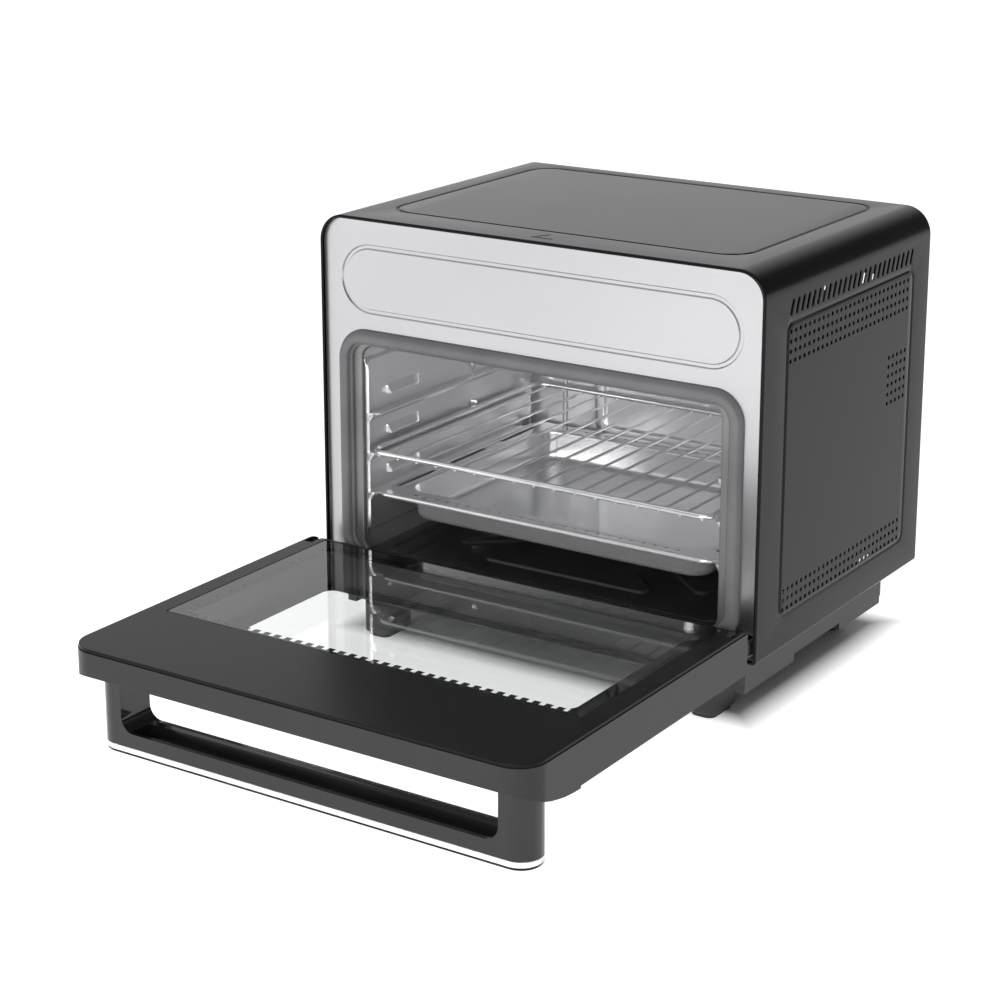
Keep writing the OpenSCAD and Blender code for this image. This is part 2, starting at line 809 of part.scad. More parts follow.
module control_components() color([0.2, 0.2, 0.22]) place() {
    for (i = [-4 : 4]) {
        box([i * 22 - 4, -256, display_z + 5.6], [i * 22 + 4, -248, display_z + 8.5]);
    }
    box([-26, -246, display_z + 5.6], [26, -241, display_z + 11]);
}

// The reinforcement that carries the pin on the inboard side of the arm.
module hinge_block() {
    difference() {
        box([arm_x - 10, hinge_y - 8, 4], [arm_x - slot_half - 0.2, door_rear_y - 2, 27]);
        along_x(arm_x - 20, arm_x) translate([hinge_y, hinge_height]) circle(pin_radius + run_gap);
    }
}

module hinge_block_right() color([0.6, 0.6, 0.62]) place() hinge_block();

module hinge_block_left() color([0.6, 0.6, 0.62]) place() mirror([1, 0, 0]) hinge_block();

// ---- handle ------------------------------------------------------------------------------------------------------

module handle_outline(inset) {
    translate([0, handle_mid_y]) {
        round_rect(handle_width - 2 * inset, handle_depth - 2 * inset, handle_depth / 2 - inset - 0.01);
    }
}

module handle_body() color([0.05, 0.05, 0.05]) place() difference() {
    translate([0, 0, handle_bottom_z + face_height + trim_height + 0.2]) {
        linear_extrude(20 - handle_bottom_z - trim_height - face_height) handle_outline(0);
    }
    // The door's curved face, which the two posts stand on
    along_x(-half_width, half_width) control_end_area(-small_gap, 60);
    // The grip opening, round at its two outer corners
    along_y(-door_reach, -200) {
        translate([0, grip_top_z + 30]) round_rect(2 * grip_gap_half, 60, 12);
    }
    // The finger channel along the bar
    along_x(-grip_gap_half + 8, grip_gap_half - 8) {
        translate([handle_mid_y, grip_top_z + 5]) circle(14);
    }
    for (s = [-1, 1]) {
        for (y = [-8, 8]) {
            translate([s * handle_screw_x, handle_mid_y + y, -20]) cylinder(r = 1.8, h = 40);
        }
    }
}

module handle_trim() color([0.85, 0.85, 0.86]) place() {
    translate([0, 0, handle_bottom_z + face_height]) linear_extrude(trim_height) handle_outline(0);
}

module handle_face() color([0.05, 0.05, 0.05]) place() {
    translate([0, 0, handle_bottom_z]) linear_extrude(face_height - 0.1) handle_outline(0.3);
}

module handle_screws() color([0.5, 0.5, 0.52]) place() {
    for (s = [-1, 1]) {
        for (y = [-8, 8]) {
            translate([s * handle_screw_x, handle_mid_y + y, 14]) screw(3.6, 2, 1.8, 30);
        }
    }
}

// ---- rack and tray -------------------------------------------------------------------------------------------------

module wire_rack() color([0.8, 0.8, 0.81]) place() {
    corner = 14;
    mid_y = (rack_front_y + rack_rear_y) / 2;
    length = rack_rear_y - rack_front_y;
    translate([0, mid_y, rack_z]) {
        for (s = [-1, 1]) {
            translate([s * rack_half, -length / 2 + corner, 0]) rotate([-90, 0, 0]) {
                cylinder(r = frame_wire, h = length - 2 * corner);
            }
            translate([-rack_half + corner, s * length / 2, 0]) rotate([0, 90, 0]) {
                cylinder(r = frame_wire, h = 2 * (rack_half - corner));
            }
            for (t = [-1, 1]) {
                translate([s * (rack_half - corner), t * (length / 2 - corner), 0]) {
                    rotate(s > 0 ? (t > 0 ? 0 : -90) : (t > 0 ? 90 : 180)) {
                        rotate_extrude(angle = 90) translate([corner, 0]) circle(frame_wire);
                    }
                }
            }
        }
        for (i = [0 : rack_wires - 1]) {
            translate([-rack_half + 10 + i * wire_pitch, -length / 2 - 1.5, -frame_wire]) {
                rotate([-90, 0, 0]) cylinder(r = cross_wire, h = length + 3, $fn = 16);
            }
        }
    }
}

// A pressed tray: a flat flange with holes in front and long slots at the sides, around a rounded well.
module baking_tray() color([0.72, 0.72, 0.73]) place() {
    mid_y = (tray_front_y + tray_rear_y) / 2;
    length = tray_rear_y - tray_front_y;
    well_w = 2 * (tray_half - tray_flange);
    well_l = length - 2 * tray_flange;
    translate([0, mid_y, tray_z]) difference() {
        union() {
            linear_extrude(tray_sheet) round_rect(2 * tray_half, length, 16);
            translate([0, 0, -tray_depth]) linear_extrude(tray_depth) round_rect(well_w, well_l, 20);
        }
        translate([0, 0, -tray_depth + tray_sheet]) linear_extrude(tray_depth + 5) {
            round_rect(well_w - 2 * tray_sheet, well_l - 2 * tray_sheet, 20 - tray_sheet);
        }
        for (i = [-12 : 12]) {
            for (s = [-1, 1]) {
                translate([i * 10.9, s * (length / 2 - 10), -1]) cylinder(r = 1.4, h = 4, $fn = 16);
            }
        }
        for (s = [-1, 1]) {
            for (i = [-1 : 1]) {
                translate([s * (tray_half - 11), i * 82, -1]) linear_extrude(4) round_rect(4, 56, 1.99);
            }
        }
    }
}

// ---- node switch ---------------------------------------------------------------------------------------------------

outer_shell();
rear_cover();
base_pan();
front_panel();
door_gasket();
cavity_front_frame();
cavity_left_wall();
cavity_right_wall();
cavity_roof();
cavity_rear_wall();
cavity_floor();
fan_cover();
fan_chamber();
upper_heating_element();
lower_heating_element();
insulation_boards();
temperature_probe();
thermal_cutout();
motor_bracket();
fan_motor();
cooling_fan_housing();
power_board();
power_components();
board_standoffs();
cord_gland();
front_feet();
front_foot_pads();
rear_feet();
hinge_bracket_left();
hinge_bracket_right();
hinge_pins();
hinge_springs();
rear_screws();
base_screws();
bracket_screws();
door_frame();
door_inner_panel();
door_inner_glass();
door_outer_glass();
touch_display();
control_board();
control_components();
hinge_block_left();
hinge_block_right();
handle_body();
handle_trim();
handle_face();
handle_screws();
wire_rack();
baking_tray();
fan_impeller();
fan_shaft();
cooling_impeller();
cooling_shaft();
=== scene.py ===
"""The looks of a countertop toaster oven with its door open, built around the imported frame.

Lengths here are millimetres in the shell's own axes: X to the right, Y back from the shell's front rim,
Z up from its bottom edge. at() turns such a point into metres in the frame.
"""

import math

import bmesh
import bpy
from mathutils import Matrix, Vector, geometry


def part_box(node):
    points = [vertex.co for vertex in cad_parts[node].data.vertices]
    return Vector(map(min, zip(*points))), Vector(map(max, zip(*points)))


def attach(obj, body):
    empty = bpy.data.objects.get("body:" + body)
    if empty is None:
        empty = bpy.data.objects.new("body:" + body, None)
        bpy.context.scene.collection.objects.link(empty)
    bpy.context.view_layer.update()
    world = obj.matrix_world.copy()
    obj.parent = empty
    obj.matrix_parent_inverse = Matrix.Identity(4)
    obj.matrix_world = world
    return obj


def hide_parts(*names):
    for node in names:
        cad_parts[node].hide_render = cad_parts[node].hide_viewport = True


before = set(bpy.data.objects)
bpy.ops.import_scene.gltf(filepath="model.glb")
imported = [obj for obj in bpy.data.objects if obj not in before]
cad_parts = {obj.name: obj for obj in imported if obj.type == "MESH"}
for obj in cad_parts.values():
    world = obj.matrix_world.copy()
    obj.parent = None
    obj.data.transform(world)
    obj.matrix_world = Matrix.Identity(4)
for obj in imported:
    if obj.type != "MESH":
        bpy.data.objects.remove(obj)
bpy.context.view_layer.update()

MM = 0.001
SHELL_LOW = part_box("outer_shell")[0]
ORIGIN = Vector((0, SHELL_LOW.y, SHELL_LOW.z))


def at(point):
    """A point in millimetres in the shell's axes, as metres in the frame."""
    return ORIGIN + Vector(point) * MM


def extent(node):
    """A CAD node's lowest and highest corners, in millimetres in the shell's axes."""
    low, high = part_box(node)
    return (low - ORIGIN) / MM, (high - ORIGIN) / MM


# ---- flat outlines -------------------------------------------------------------------------------


def arc(centre, radius, start, end, steps):
    """Points on a circle from one angle to another, in degrees."""
    points = []
    for i in range(steps + 1):
        angle = math.radians(start + (end - start) * i / steps)
        points.append((centre[0] + radius * math.cos(angle), centre[1] + radius * math.sin(angle)))
    return points


# A rounded outline's radius stays a little under half its sides, so that no two of its points fall together.
HAIR = 0.01
LEAST_RADIUS = 0.05


def rounded(width, height, radius, centre=(0, 0), steps=8):
    """A rounded rectangle as a closed loop of points."""
    radius = max(min(radius, width / 2 - HAIR, height / 2 - HAIR), LEAST_RADIUS)
    loop = []
    for sx, sy, start in ((1, 1, 0), (-1, 1, 90), (-1, -1, 180), (1, -1, 270)):
        corner = (centre[0] + sx * (width / 2 - radius), centre[1] + sy * (height / 2 - radius))
        loop += arc(corner, radius, start, start + 90, steps)
    return loop


def circle(radius, centre, steps=12):
    """A circle as a closed loop of points."""
    return arc(centre, radius, 0, 360 - 360 / steps, steps - 1)


def arch(half, low, high, radius, steps=10):
    """A rectangle whose two upper corners are round, as a closed loop of points."""
    loop = [(-half, low), (half, low)]
    loop += arc((half - radius, high - radius), radius, 0, 90, steps)
    loop += arc((-half + radius, high - radius), radius, 90, 180, steps)
    return loop


def turned(loop, centre, degrees):
    """The loop turned about its centre."""
    c, s = math.cos(math.radians(degrees)), math.sin(math.radians(degrees))
    out = []
    for u, v in loop:
        du, dv = u - centre[0], v - centre[1]
        out.append((centre[0] + c * du - s * dv, centre[1] + s * du + c * dv))
    return out


def groove(width, height, radius, centre, band, rise, steps=10, slope=0.3):
    """Loops of a pressed line: four nested outlines, the two in the middle raised by rise (or sunk if it is
    negative). slope is the share of the band that each flank takes."""
    loops = []
    for share, lift in ((0, 0), (slope, rise), (1 - slope, rise), (1, 0)):
        inset = band * share
        outline = rounded(width - 2 * inset, height - 2 * inset, radius - inset, centre, steps)
        loops.append((outline, lift, False))
    return loops


# ---- mesh building -------------------------------------------------------------------------------


# The triangulation keeps what is inside the outlines and joins points closer than SAME_POINT.
INSIDE_ONLY = 1
SAME_POINT = 1e-4
# Points of a piece closer than WELD are one, and neighbouring lines of a relief are over LINE_GAP apart.
WELD = 0.005
LINE_GAP = 0.3
# How far along a wire's rounded tip its rings stand, and their share of the wire's radius.
TIP_SHAPE = ((0.6, 0.85), (1.0, 0.45))


def loft(bm, rings, around=True, along=False, caps=(False, False)):
    """Quads between rings of the same count. around closes each ring, along joins the last to the first."""
    rows = [[bm.verts.new(point) for point in ring] for ring in rings]
    pairs = list(zip(rows, rows[1:]))
    if along:
        pairs.append((rows[-1], rows[0]))
    for low, high in pairs:
        count = len(low)
        for i in range(count if around else count - 1):
            j = (i + 1) % count
            bm.faces.new((low[i], low[j], high[j], high[i]))
    if caps[0]:
        bm.faces.new(list(reversed(rows[0])))
    if caps[1]:
        bm.faces.new(rows[-1])
    return rows


def sheet(bm, loops, put):
    """A flat sheet filled between loops of (points, height, is_hole). put(u, v, height) places each point."""
    flat, edges, owner, heights = [], [], [], []
    for number, (points, height, is_hole) in enumerate(loops):
        first = len(flat)
        flat += [Vector(p) for p in points]
        edges += [(first + i, first + (i + 1) % len(points)) for i in range(len(points))]
        owner += [number if is_hole else -1] * len(points)
        heights += [height] * len(points)
    found = geometry.delaunay_2d_cdt(flat, edges, [], INSIDE_ONLY, SAME_POINT)
    places, faces, sources = found[0], found[2], found[3]
    verts = []
    for place, source in zip(places, sources):
        height = heights[source[0]] if source else 0
        verts.append(bm.verts.new(put(place.x, place.y, height)))
    owners = [owner[source[0]] if source else -1 for source in sources]
    for face in faces:
        rims = {owners[i] for i in face}
        if len(rims) == 1 and -1 not in rims:
            continue
        bm.faces.new([verts[i] for i in face])


def relief(bm, us, vs, put):
    """A grid over the lines us and vs, each point placed by put(u, v)."""
    rows = [[bm.verts.new(put(u, v)) for u in us] for v in vs]
    for low, high in zip(rows, rows[1:]):
        for i in range(len(us) - 1):
            bm.faces.new((low[i], low[i + 1], high[i + 1], high[i]))


def tube(bm, points, radius, sides=10, closed=False, tip=0.0):
    """A round wire along points. tip rounds its two ends off over that length."""
    points = [Vector(p) for p in points]
    radii = [radius] * len(points)
    if tip:
        start, end = points[0], points[-1]
        first = (points[1] - start).normalized()
        last = (end - points[-2]).normalized()
        for reach, share in TIP_SHAPE:
            points = [start - first * tip * reach, *points, end + last * tip * reach]
            radii = [radius * share, *radii, radius * share]
    count = len(points)
    normal = None
    rings = []
    for i, point in enumerate(points):
        before = points[i - 1] if closed or i else point
        after = points[(i + 1) % count] if closed or i < count - 1 else point
        along = (after - before).normalized()
        if normal is None:
            normal = along.orthogonal().normalized()
        normal = (normal - along * normal.dot(along)).normalized()
        side = along.cross(normal)
        ring = []
        for k in range(sides):
            angle = 2 * math.pi * k / sides
            ring.append(point + radii[i] * (math.cos(angle) * normal + math.sin(angle) * side))
        rings.append(ring)
    loft(bm, rings, along=closed, caps=(not closed, not closed))


def ramp(distance, width):
    """1 inside an edge and 0 outside it, with a smooth slope of that width across it."""
    t = min(max(0.5 - distance / width, 0), 1)
    return t * t * (3 - 2 * t)


def distance_to_box(u, v, centre, width, height, radius):
    """How far a point is outside a rounded rectangle, negative inside."""
    qu = abs(u - centre[0]) - width / 2 + radius
    qv = abs(v - centre[1]) - height / 2 + radius
    return min(max(qu, qv), 0) + math.hypot(max(qu, 0), max(qv, 0)) - radius


def grid_lines(low, high, step, marks=(), near=(0, 0.8, 1.6, 2.6)):
    """Lines from low to high: one every step, and finer ones on both sides of each mark."""
    values = {low, high}
    count = int((high - low) / step)
    values |= {low + (high - low) * i / count for i in range(count + 1)}
    for mark in marks:
        for offset in near:
            values |= {mark - offset, mark + offset}
    lines = []
    for value in sorted(v for v in values if low <= v <= high):
        if not lines or value - lines[-1] > LINE_GAP:
            lines.append(value)
    return lines


def object_from(name, bm):
    """A new object in the scene from a mesh under construction."""
    mesh = bpy.data.meshes.new(name)
    bm.to_mesh(mesh)
    bm.free()
    obj = bpy.data.objects.new(name, mesh)
    bpy.context.scene.collection.objects.link(obj)
    return obj


def shade(mesh, angle):
    """Smooth shading that keeps the edges sharp where faces meet at more than an angle in degrees."""
    mesh.shade_smooth()
    mesh.set_sharp_from_angle(angle=math.radians(angle))


def weigh_normals(obj):
    """Shading that keeps the large flat faces flat and lets the small edge faces round them off."""
    modifier = obj.modifiers.new("normals", "WEIGHTED_NORMAL")
    modifier.keep_sharp = True
    modifier.weight = 80


def finish_piece(obj, node, body, material):
    """Gives a piece its material and body, and hides the CAD node that it stands for."""
    obj.data.materials.clear()
    obj.data.materials.append(material)
    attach(obj, body)
    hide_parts(node)


def piece(name, bm, node, body, material, facing=None, thickness=0.0, sharp=40):
    """Turns a mesh in millimetres into a piece. facing points the normals of an open sheet, and thickness
    goes inward from it."""
    bmesh.ops.remove_doubles(bm, verts=bm.verts, dist=WELD)
    bmesh.ops.recalc_face_normals(bm, faces=bm.faces)
    if facing is not None:
        total = sum((face.normal * face.calc_area() for face in bm.faces), Vector())
        if total.dot(Vector(facing)) < 0:
            bmesh.ops.reverse_faces(bm, faces=bm.faces)
    for vert in bm.verts:
        vert.co = at(vert.co)
    obj = object_from(name, bm)
    shade(obj.data, sharp)
    if thickness:
        modifier = obj.modifiers.new("sheet", "SOLIDIFY")
        modifier.thickness = thickness * MM
        modifier.offset = -1
    weigh_normals(obj)
    finish_piece(obj, node, body, material)


# In a CAD mesh, faces that meet at less than FLAT_ANGLE are one, edges over CAD_SHARP are sharp, and points
# closer than CAD_WELD are one.
FLAT_ANGLE = 0.5
CAD_SHARP = 35
CAD_WELD = 1e-6


def softened(node, body, width, material, segments=2):
    """A copy of a CAD node with its edges rounded off, to stand for that node."""
    bm = bmesh.new()
    bm.from_mesh(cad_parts[node].data)
    bmesh.ops.remove_doubles(bm, verts=bm.verts, dist=CAD_WELD)
    bmesh.ops.dissolve_limit(bm, angle_limit=math.radians(FLAT_ANGLE), verts=bm.verts, edges=bm.edges)
    obj = object_from(node + "_soft", bm)
    shade(obj.data, CAD_SHARP)
    modifier = obj.modifiers.new("edges", "BEVEL")
    modifier.width = width * MM
    modifier.segments = segments
    modifier.limit_method = "ANGLE"
    modifier.angle_limit = math.radians(CAD_SHARP)
    modifier.harden_normals = False
    weigh_normals(obj)
    finish_piece(obj, node, body, material)


# ---- materials -----------------------------------------------------------------------------------


class Surface:
    """A material under construction: one shader and the node patterns that feed it."""

    def __init__(self, name):
        self.material = bpy.data.materials.new(name)
        self.material.use_nodes = True
        self.tree = self.material.node_tree
        self.tree.nodes.clear()
        self.output = self.add("ShaderNodeOutputMaterial")
        self.shader = self.add("ShaderNodeBsdfPrincipled")
        self.join(self.shader.outputs[0], self.output.inputs["Surface"])
        self.place = self.add("ShaderNodeTexCoord").outputs["Object"]

    def add(self, kind, **settings):
        """A new node with its settings."""
        node = self.tree.nodes.new(kind)
        for key, value in settings.items():
            setattr(node, key, value)
        return node

    def join(self, source, target):
        """A link from one socket to another."""
        self.tree.links.new(source, target)

    def feed(self, value, socket):
        """A number goes into the socket as it is, and another node's output is linked to it."""
        if isinstance(value, (int, float)):
            socket.default_value = value
        else:
            self.join(value, socket)

    def math(self, operation, a, b=0.0):
        """The output of an operation on two numbers or patterns."""
        node = self.add("ShaderNodeMath", operation=operation)
        self.feed(a, node.inputs[0])
        self.feed(b, node.inputs[1])
        return node.outputs[0]

    def noise(self, scale, detail=3.0, stretch=(1, 1, 1), roughness=0.5):
        """Noise with about that many features a metre, drawn out where stretch is small."""
        mapping = self.add("ShaderNodeMapping")
        mapping.inputs["Scale"].default_value = stretch
        self.join(self.place, mapping.inputs["Vector"])
        node = self.add("ShaderNodeTexNoise")
        node.inputs["Scale"].default_value = scale
        node.inputs["Detail"].default_value = detail
        node.inputs["Roughness"].default_value = roughness
        self.join(mapping.outputs[0], node.inputs["Vector"])
        return node.outputs["Fac"]

    def spread(self, value, low, high, source=(0.3, 0.7)):
        """Maps a pattern's usual span onto low to high."""
        node = self.add("ShaderNodeMapRange")
        self.join(value, node.inputs["Value"])
        node.inputs["From Min"].default_value = source[0]
        node.inputs["From Max"].default_value = source[1]
        node.inputs["To Min"].default_value = low
        node.inputs["To Max"].default_value = high
        return node.outputs["Result"]

    def blend(self, factor, first, second):
        """Mixes two colours by a pattern. Each is a colour or another node's output."""
        node = self.add("ShaderNodeMix", data_type="RGBA")
        self.feed(factor, node.inputs["Factor"])
        for value, socket in ((first, node.inputs[6]), (second, node.inputs[7])):
            if isinstance(value, tuple):
                socket.default_value = (*value, 1)
            else:
                self.join(value, socket)
        return node.outputs[2]

    def bump(self, height, strength, depth=0.1):
        """Fine relief from a pattern, depth in millimetres."""
        node = self.add("ShaderNodeBump")
        node.inputs["Strength"].default_value = strength
        node.inputs["Distance"].default_value = depth * MM
        self.join(height, node.inputs["Height"])
        self.join(node.outputs[0], self.shader.inputs["Normal"])

    def past(self, value, middle, half):
        """How far a value is outside a span about its middle, negative inside."""
        return self.math("SUBTRACT", self.math("ABSOLUTE", self.math("SUBTRACT", value, middle)), half)

    def within(self, value, start, end):
        """1 where a value is between two others and 0 elsewhere."""
        found = self.math("COMPARE", value, (start + end) / 2)
        found.node.inputs[2].default_value = (end - start) / 2
        return found

    def axes(self):
        """The place's X, Y and Z in millimetres in the shell's axes."""
        node = self.add("ShaderNodeSeparateXYZ")
        self.join(self.place, node.inputs[0])
        found = []
        for axis in range(3):
            moved = self.math("SUBTRACT", node.outputs[axis], ORIGIN[axis])
            found.append(self.math("DIVIDE", moved, MM))
        return found


# How much of a finish's roughness follows its fine grain. The rest follows its wide patches.
GRAIN_SHARE = 0.7


def finish(name, dark, light, rough, metal=0.0, patches=25, grain=900, stretch=(1, 1, 1), bump=0.1,
           depth=0.05, **fixed):
    """A finish whose colour drifts from dark to light in patches, and whose fine grain moves gloss and
    relief. fixed holds values for the shader's own sockets, such as coat_weight."""
    surface = Surface(name)
    wide = surface.noise(patches, 4)
    fine = surface.noise(grain, 4, stretch, 0.6)
    colour = surface.blend(surface.spread(wide, 0, 1), dark, light)
    surface.join(colour, surface.shader.inputs["Base Color"])
    from_grain = surface.math("MULTIPLY", fine, GRAIN_SHARE)
    from_patches = surface.math("MULTIPLY", wide, 1 - GRAIN_SHARE)
    mixed = surface.math("ADD", from_grain, from_patches)
    surface.join(surface.spread(mixed, *rough), surface.shader.inputs["Roughness"])
    surface.shader.inputs["Metallic"].default_value = metal
    for key, value in fixed.items():
        socket = surface.shader.inputs[key.replace("_", " ").title().replace("Ior", "IOR")]
        socket.default_value = value
    if bump:
        surface.bump(fine, bump, depth)
    return surface.material


# Both faces of real glass reflect and only the outer one does here, so its index is raised to make up for it.
GLASS_INDEX = 1.8
GLASS_GLOSS = 0.03
GLASS_TINT = (0.985, 0.99, 0.987)
TOOTH_SHARE = 0.42


def pane(name, window, comb=None):
    """Clear glass with a black printed border. window is (x0, y0, x1, y1, radius) of the clear part.
    comb is (y0, y1, x0, x1, pitch): a row of clear teeth cut into the print between those lines."""
    surface = Surface(name)
    x, y, _ = surface.axes()
    x0, y0, x1, y1, radius = window
    across = surface.past(x, (x0 + x1) / 2, (x1 - x0) / 2 - radius)
    lengthwise = surface.past(y, (y0 + y1) / 2, (y1 - y0) / 2 - radius)
    squares = []
    for distance in (across, lengthwise):
        squares.append(surface.math("POWER", surface.math("MAXIMUM", distance, 0.0), 2.0))
    reach = surface.math("SQRT", surface.math("ADD", *squares))
    clear = surface.math("LESS_THAN", reach, radius)
    if comb:
        y0, y1, x0, x1, pitch = comb
        in_comb = surface.math("MULTIPLY", surface.within(y, y0, y1), surface.within(x, x0, x1))
        phase = surface.math("FRACT", surface.math("DIVIDE", x, pitch))
        tooth = surface.math("LESS_THAN", phase, TOOTH_SHARE)
        clear = surface.math("MAXIMUM", clear, surface.math("MULTIPLY", in_comb, tooth))
    see_through = surface.add("ShaderNodeBsdfTransparent")
    see_through.inputs["Color"].default_value = (*GLASS_TINT, 1)
    gloss = surface.add("ShaderNodeBsdfGlossy")
    gloss.inputs["Roughness"].default_value = GLASS_GLOSS
    fresnel = surface.add("ShaderNodeFresnel")
    fresnel.inputs["IOR"].default_value = GLASS_INDEX
    outside = surface.math("SUBTRACT", 1.0, surface.add("ShaderNodeNewGeometry").outputs["Backfacing"])
    glass = surface.add("ShaderNodeMixShader")
    surface.join(surface.math("MULTIPLY", fresnel.outputs[0], outside), glass.inputs[0])
    surface.join(see_through.outputs[0], glass.inputs[1])
    surface.join(gloss.outputs[0], glass.inputs[2])
    smudge = surface.noise(18, 4)
    surface.join(surface.blend(smudge, (0.006, 0.006, 0.007), (0.010, 0.010, 0.011)),
                 surface.shader.inputs["Base Color"])
    surface.join(surface.spread(smudge, 0.04, 0.09), surface.shader.inputs["Roughness"])
    both = surface.add("ShaderNodeMixShader")
    surface.join(clear, both.inputs[0])
    surface.join(surface.shader.outputs[0], both.inputs[1])
    surface.join(glass.outputs[0], both.inputs[2])
    surface.join(both.outputs[0], surface.output.inputs["Surface"])
    return surface.material


satin_black = finish("satin_black_paint", (0.006, 0.006, 0.007), (0.009, 0.009, 0.010), (0.20, 0.26),
                     patches=9, grain=2600, bump=0.05, depth=0.02, specular_ior_level=0.12)
front_brushed = finish("brushed_front_steel", (0.47, 0.47, 0.48), (0.51, 0.51, 0.52), (0.27, 0.33), metal=1.0,
                       patches=4, grain=900, stretch=(0.012, 1, 1), bump=0.05, depth=0.01, anisotropic=0.6)
seal_rubber = finish("seal_rubber", (0.13, 0.13, 0.135), (0.17, 0.17, 0.175), (0.45, 0.60),
                     patches=20, grain=1800, bump=0.2, depth=0.05)
liner_steel = finish("liner_steel", (0.76, 0.76, 0.77), (0.84, 0.84, 0.85), (0.20, 0.26), metal=0.7,
                     patches=10, grain=1400, stretch=(1, 1, 0.15), bump=0.0)
throat_steel = finish("throat_steel", (0.20, 0.20, 0.205), (0.26, 0.26, 0.265), (0.34, 0.42), metal=0.6,
                      patches=20, grain=1200, bump=0.08, depth=0.02)
enamel = finish("black_enamel", (0.030, 0.030, 0.031), (0.042, 0.042, 0.043), (0.12, 0.24),
                patches=30, grain=240, bump=0.25, depth=0.12, coat_weight=0.6, coat_roughness=0.08)
chrome = finish("rack_chrome", (0.84, 0.84, 0.85), (0.92, 0.92, 0.93), (0.10, 0.16), metal=0.8,
                patches=60, grain=700, bump=0.05, depth=0.02)
tray_steel = finish("tray_steel", (0.84, 0.84, 0.85), (0.90, 0.90, 0.91), (0.18, 0.24), metal=0.75,
                    patches=7, grain=1100, stretch=(0.2, 1, 1), bump=0.0)
plated = finish("zinc_plated_steel", (0.50, 0.50, 0.49), (0.66, 0.66, 0.64), (0.30, 0.50), metal=1.0,
                patches=180, grain=900, bump=0.2, depth=0.05)
bright = finish("turned_steel", (0.62, 0.62, 0.63), (0.78, 0.78, 0.79), (0.16, 0.28), metal=1.0,
                patches=60, grain=1500, bump=0.1, depth=0.02)
heater = finish("heater_sheath", (0.10, 0.085, 0.075), (0.22, 0.19, 0.17), (0.40, 0.62), metal=0.8,
                patches=90, grain=1400, bump=0.3, depth=0.08)
wool = finish("insulation_wool", (0.60, 0.55, 0.40), (0.80, 0.75, 0.58), (0.80, 0.98),
              patches=70, grain=500, stretch=(1, 1, 0.3), bump=0.8, depth=1.0)
motor_metal = finish("motor_laminations", (0.28, 0.28, 0.29), (0.42, 0.42, 0.43), (0.35, 0.5), metal=1.0,
                     patches=40, grain=1600, stretch=(0.05, 0.05, 1), bump=0.5, depth=0.2)
laminate = finish("board_laminate", (0.02, 0.12, 0.05), (0.03, 0.17, 0.08), (0.35, 0.5),
                  patches=60, grain=1100, bump=0.2, depth=0.05)
black_plastic = finish("moulded_black_plastic", (0.020, 0.020, 0.021), (0.028, 0.028, 0.029), (0.42, 0.55),
                       patches=15, grain=2200, bump=0.3, depth=0.04)
foot_rubber = finish("foot_rubber", (0.018, 0.018, 0.018), (0.030, 0.030, 0.030), (0.55, 0.72),
                     patches=30, grain=1500, bump=0.4, depth=0.06)
door_plastic = finish("door_skirt_plastic", (0.020, 0.020, 0.021), (0.026, 0.026, 0.027), (0.34, 0.44),
                      patches=12, grain=2600, bump=0.18, depth=0.03, specular_ior_level=0.3)
gloss_black = finish("gloss_black", (0.008, 0.008, 0.009), (0.013, 0.013, 0.014), (0.07, 0.13),
                     patches=14, grain=160, bump=0.04, depth=0.03)
door_lacquer = finish("door_black_lacquer", (0.006, 0.006, 0.007), (0.009, 0.009, 0.010), (0.26, 0.34),
                      patches=8, grain=1800, bump=0.06, depth=0.01, specular_ior_level=0.10)
trim_chrome = finish("trim_chrome", (0.88, 0.88, 0.88), (0.96, 0.96, 0.96), (0.16, 0.26), metal=0.4,
                     patches=40, grain=900, bump=0.04, depth=0.02)
liner_sheet_steel = finish("aluminised_steel", (0.44, 0.44, 0.44), (0.60, 0.60, 0.60), (0.34, 0.52),
                           metal=1.0, patches=120, grain=700, bump=0.2, depth=0.04)


# ---- the wrapper and the front panel -------------------------------------------------------------

shell_low, shell_high = extent("outer_shell")
HALF = shell_high.x
DEPTH = shell_high.y
HEIGHT = shell_high.z
CORNER = 24
SHEET = 0.8
# The wrapper's front edge is rounded by EDGE, and its bottom edges by HEM.
EDGE = 1.6
HEM = 3
HEM_STEPS = 4
BOTTOM_FLANGE = 12
VENT_PITCH = 8.1
VENT_FRONT = 45
VENT_RADIUS = 2.1
# How far a punched hole's edge is drawn in, sideways and inward.
VENT_DRAW = (0.5, 0.3)
LOUVRES = 25
LOUVRE_PITCH = 9.3
LOUVRE_FRONT = 45.7
LOUVRE_TILT = -20


def wrapper_section(inset):
    """The wrapper's section in X and Z, from one bottom flange to the other, moved inward by inset."""
    right = [(HALF - BOTTOM_FLANGE, inset)]
    right += arc((HALF - HEM, HEM), HEM - inset, -90, 0, HEM_STEPS)
    right += arc((HALF - CORNER, HEIGHT - CORNER), CORNER - inset, 0, 90, 12)
    left = [(-x, z) for x, z in reversed(right)]
    return right + left


def vent_loops(columns, rows, start):
    """Punched round holes in a grid, each with its edge drawn in a little."""
    inset, depth = VENT_DRAW
    loops = []
    for i in range(columns):
        for j in range(rows):
            centre = (start[0] + i * VENT_PITCH, start[1] + j * VENT_PITCH)
            loops.append((circle(VENT_RADIUS, centre), 0, False))
            loops.append((circle(VENT_RADIUS - inset, centre), -depth, True))
    return loops


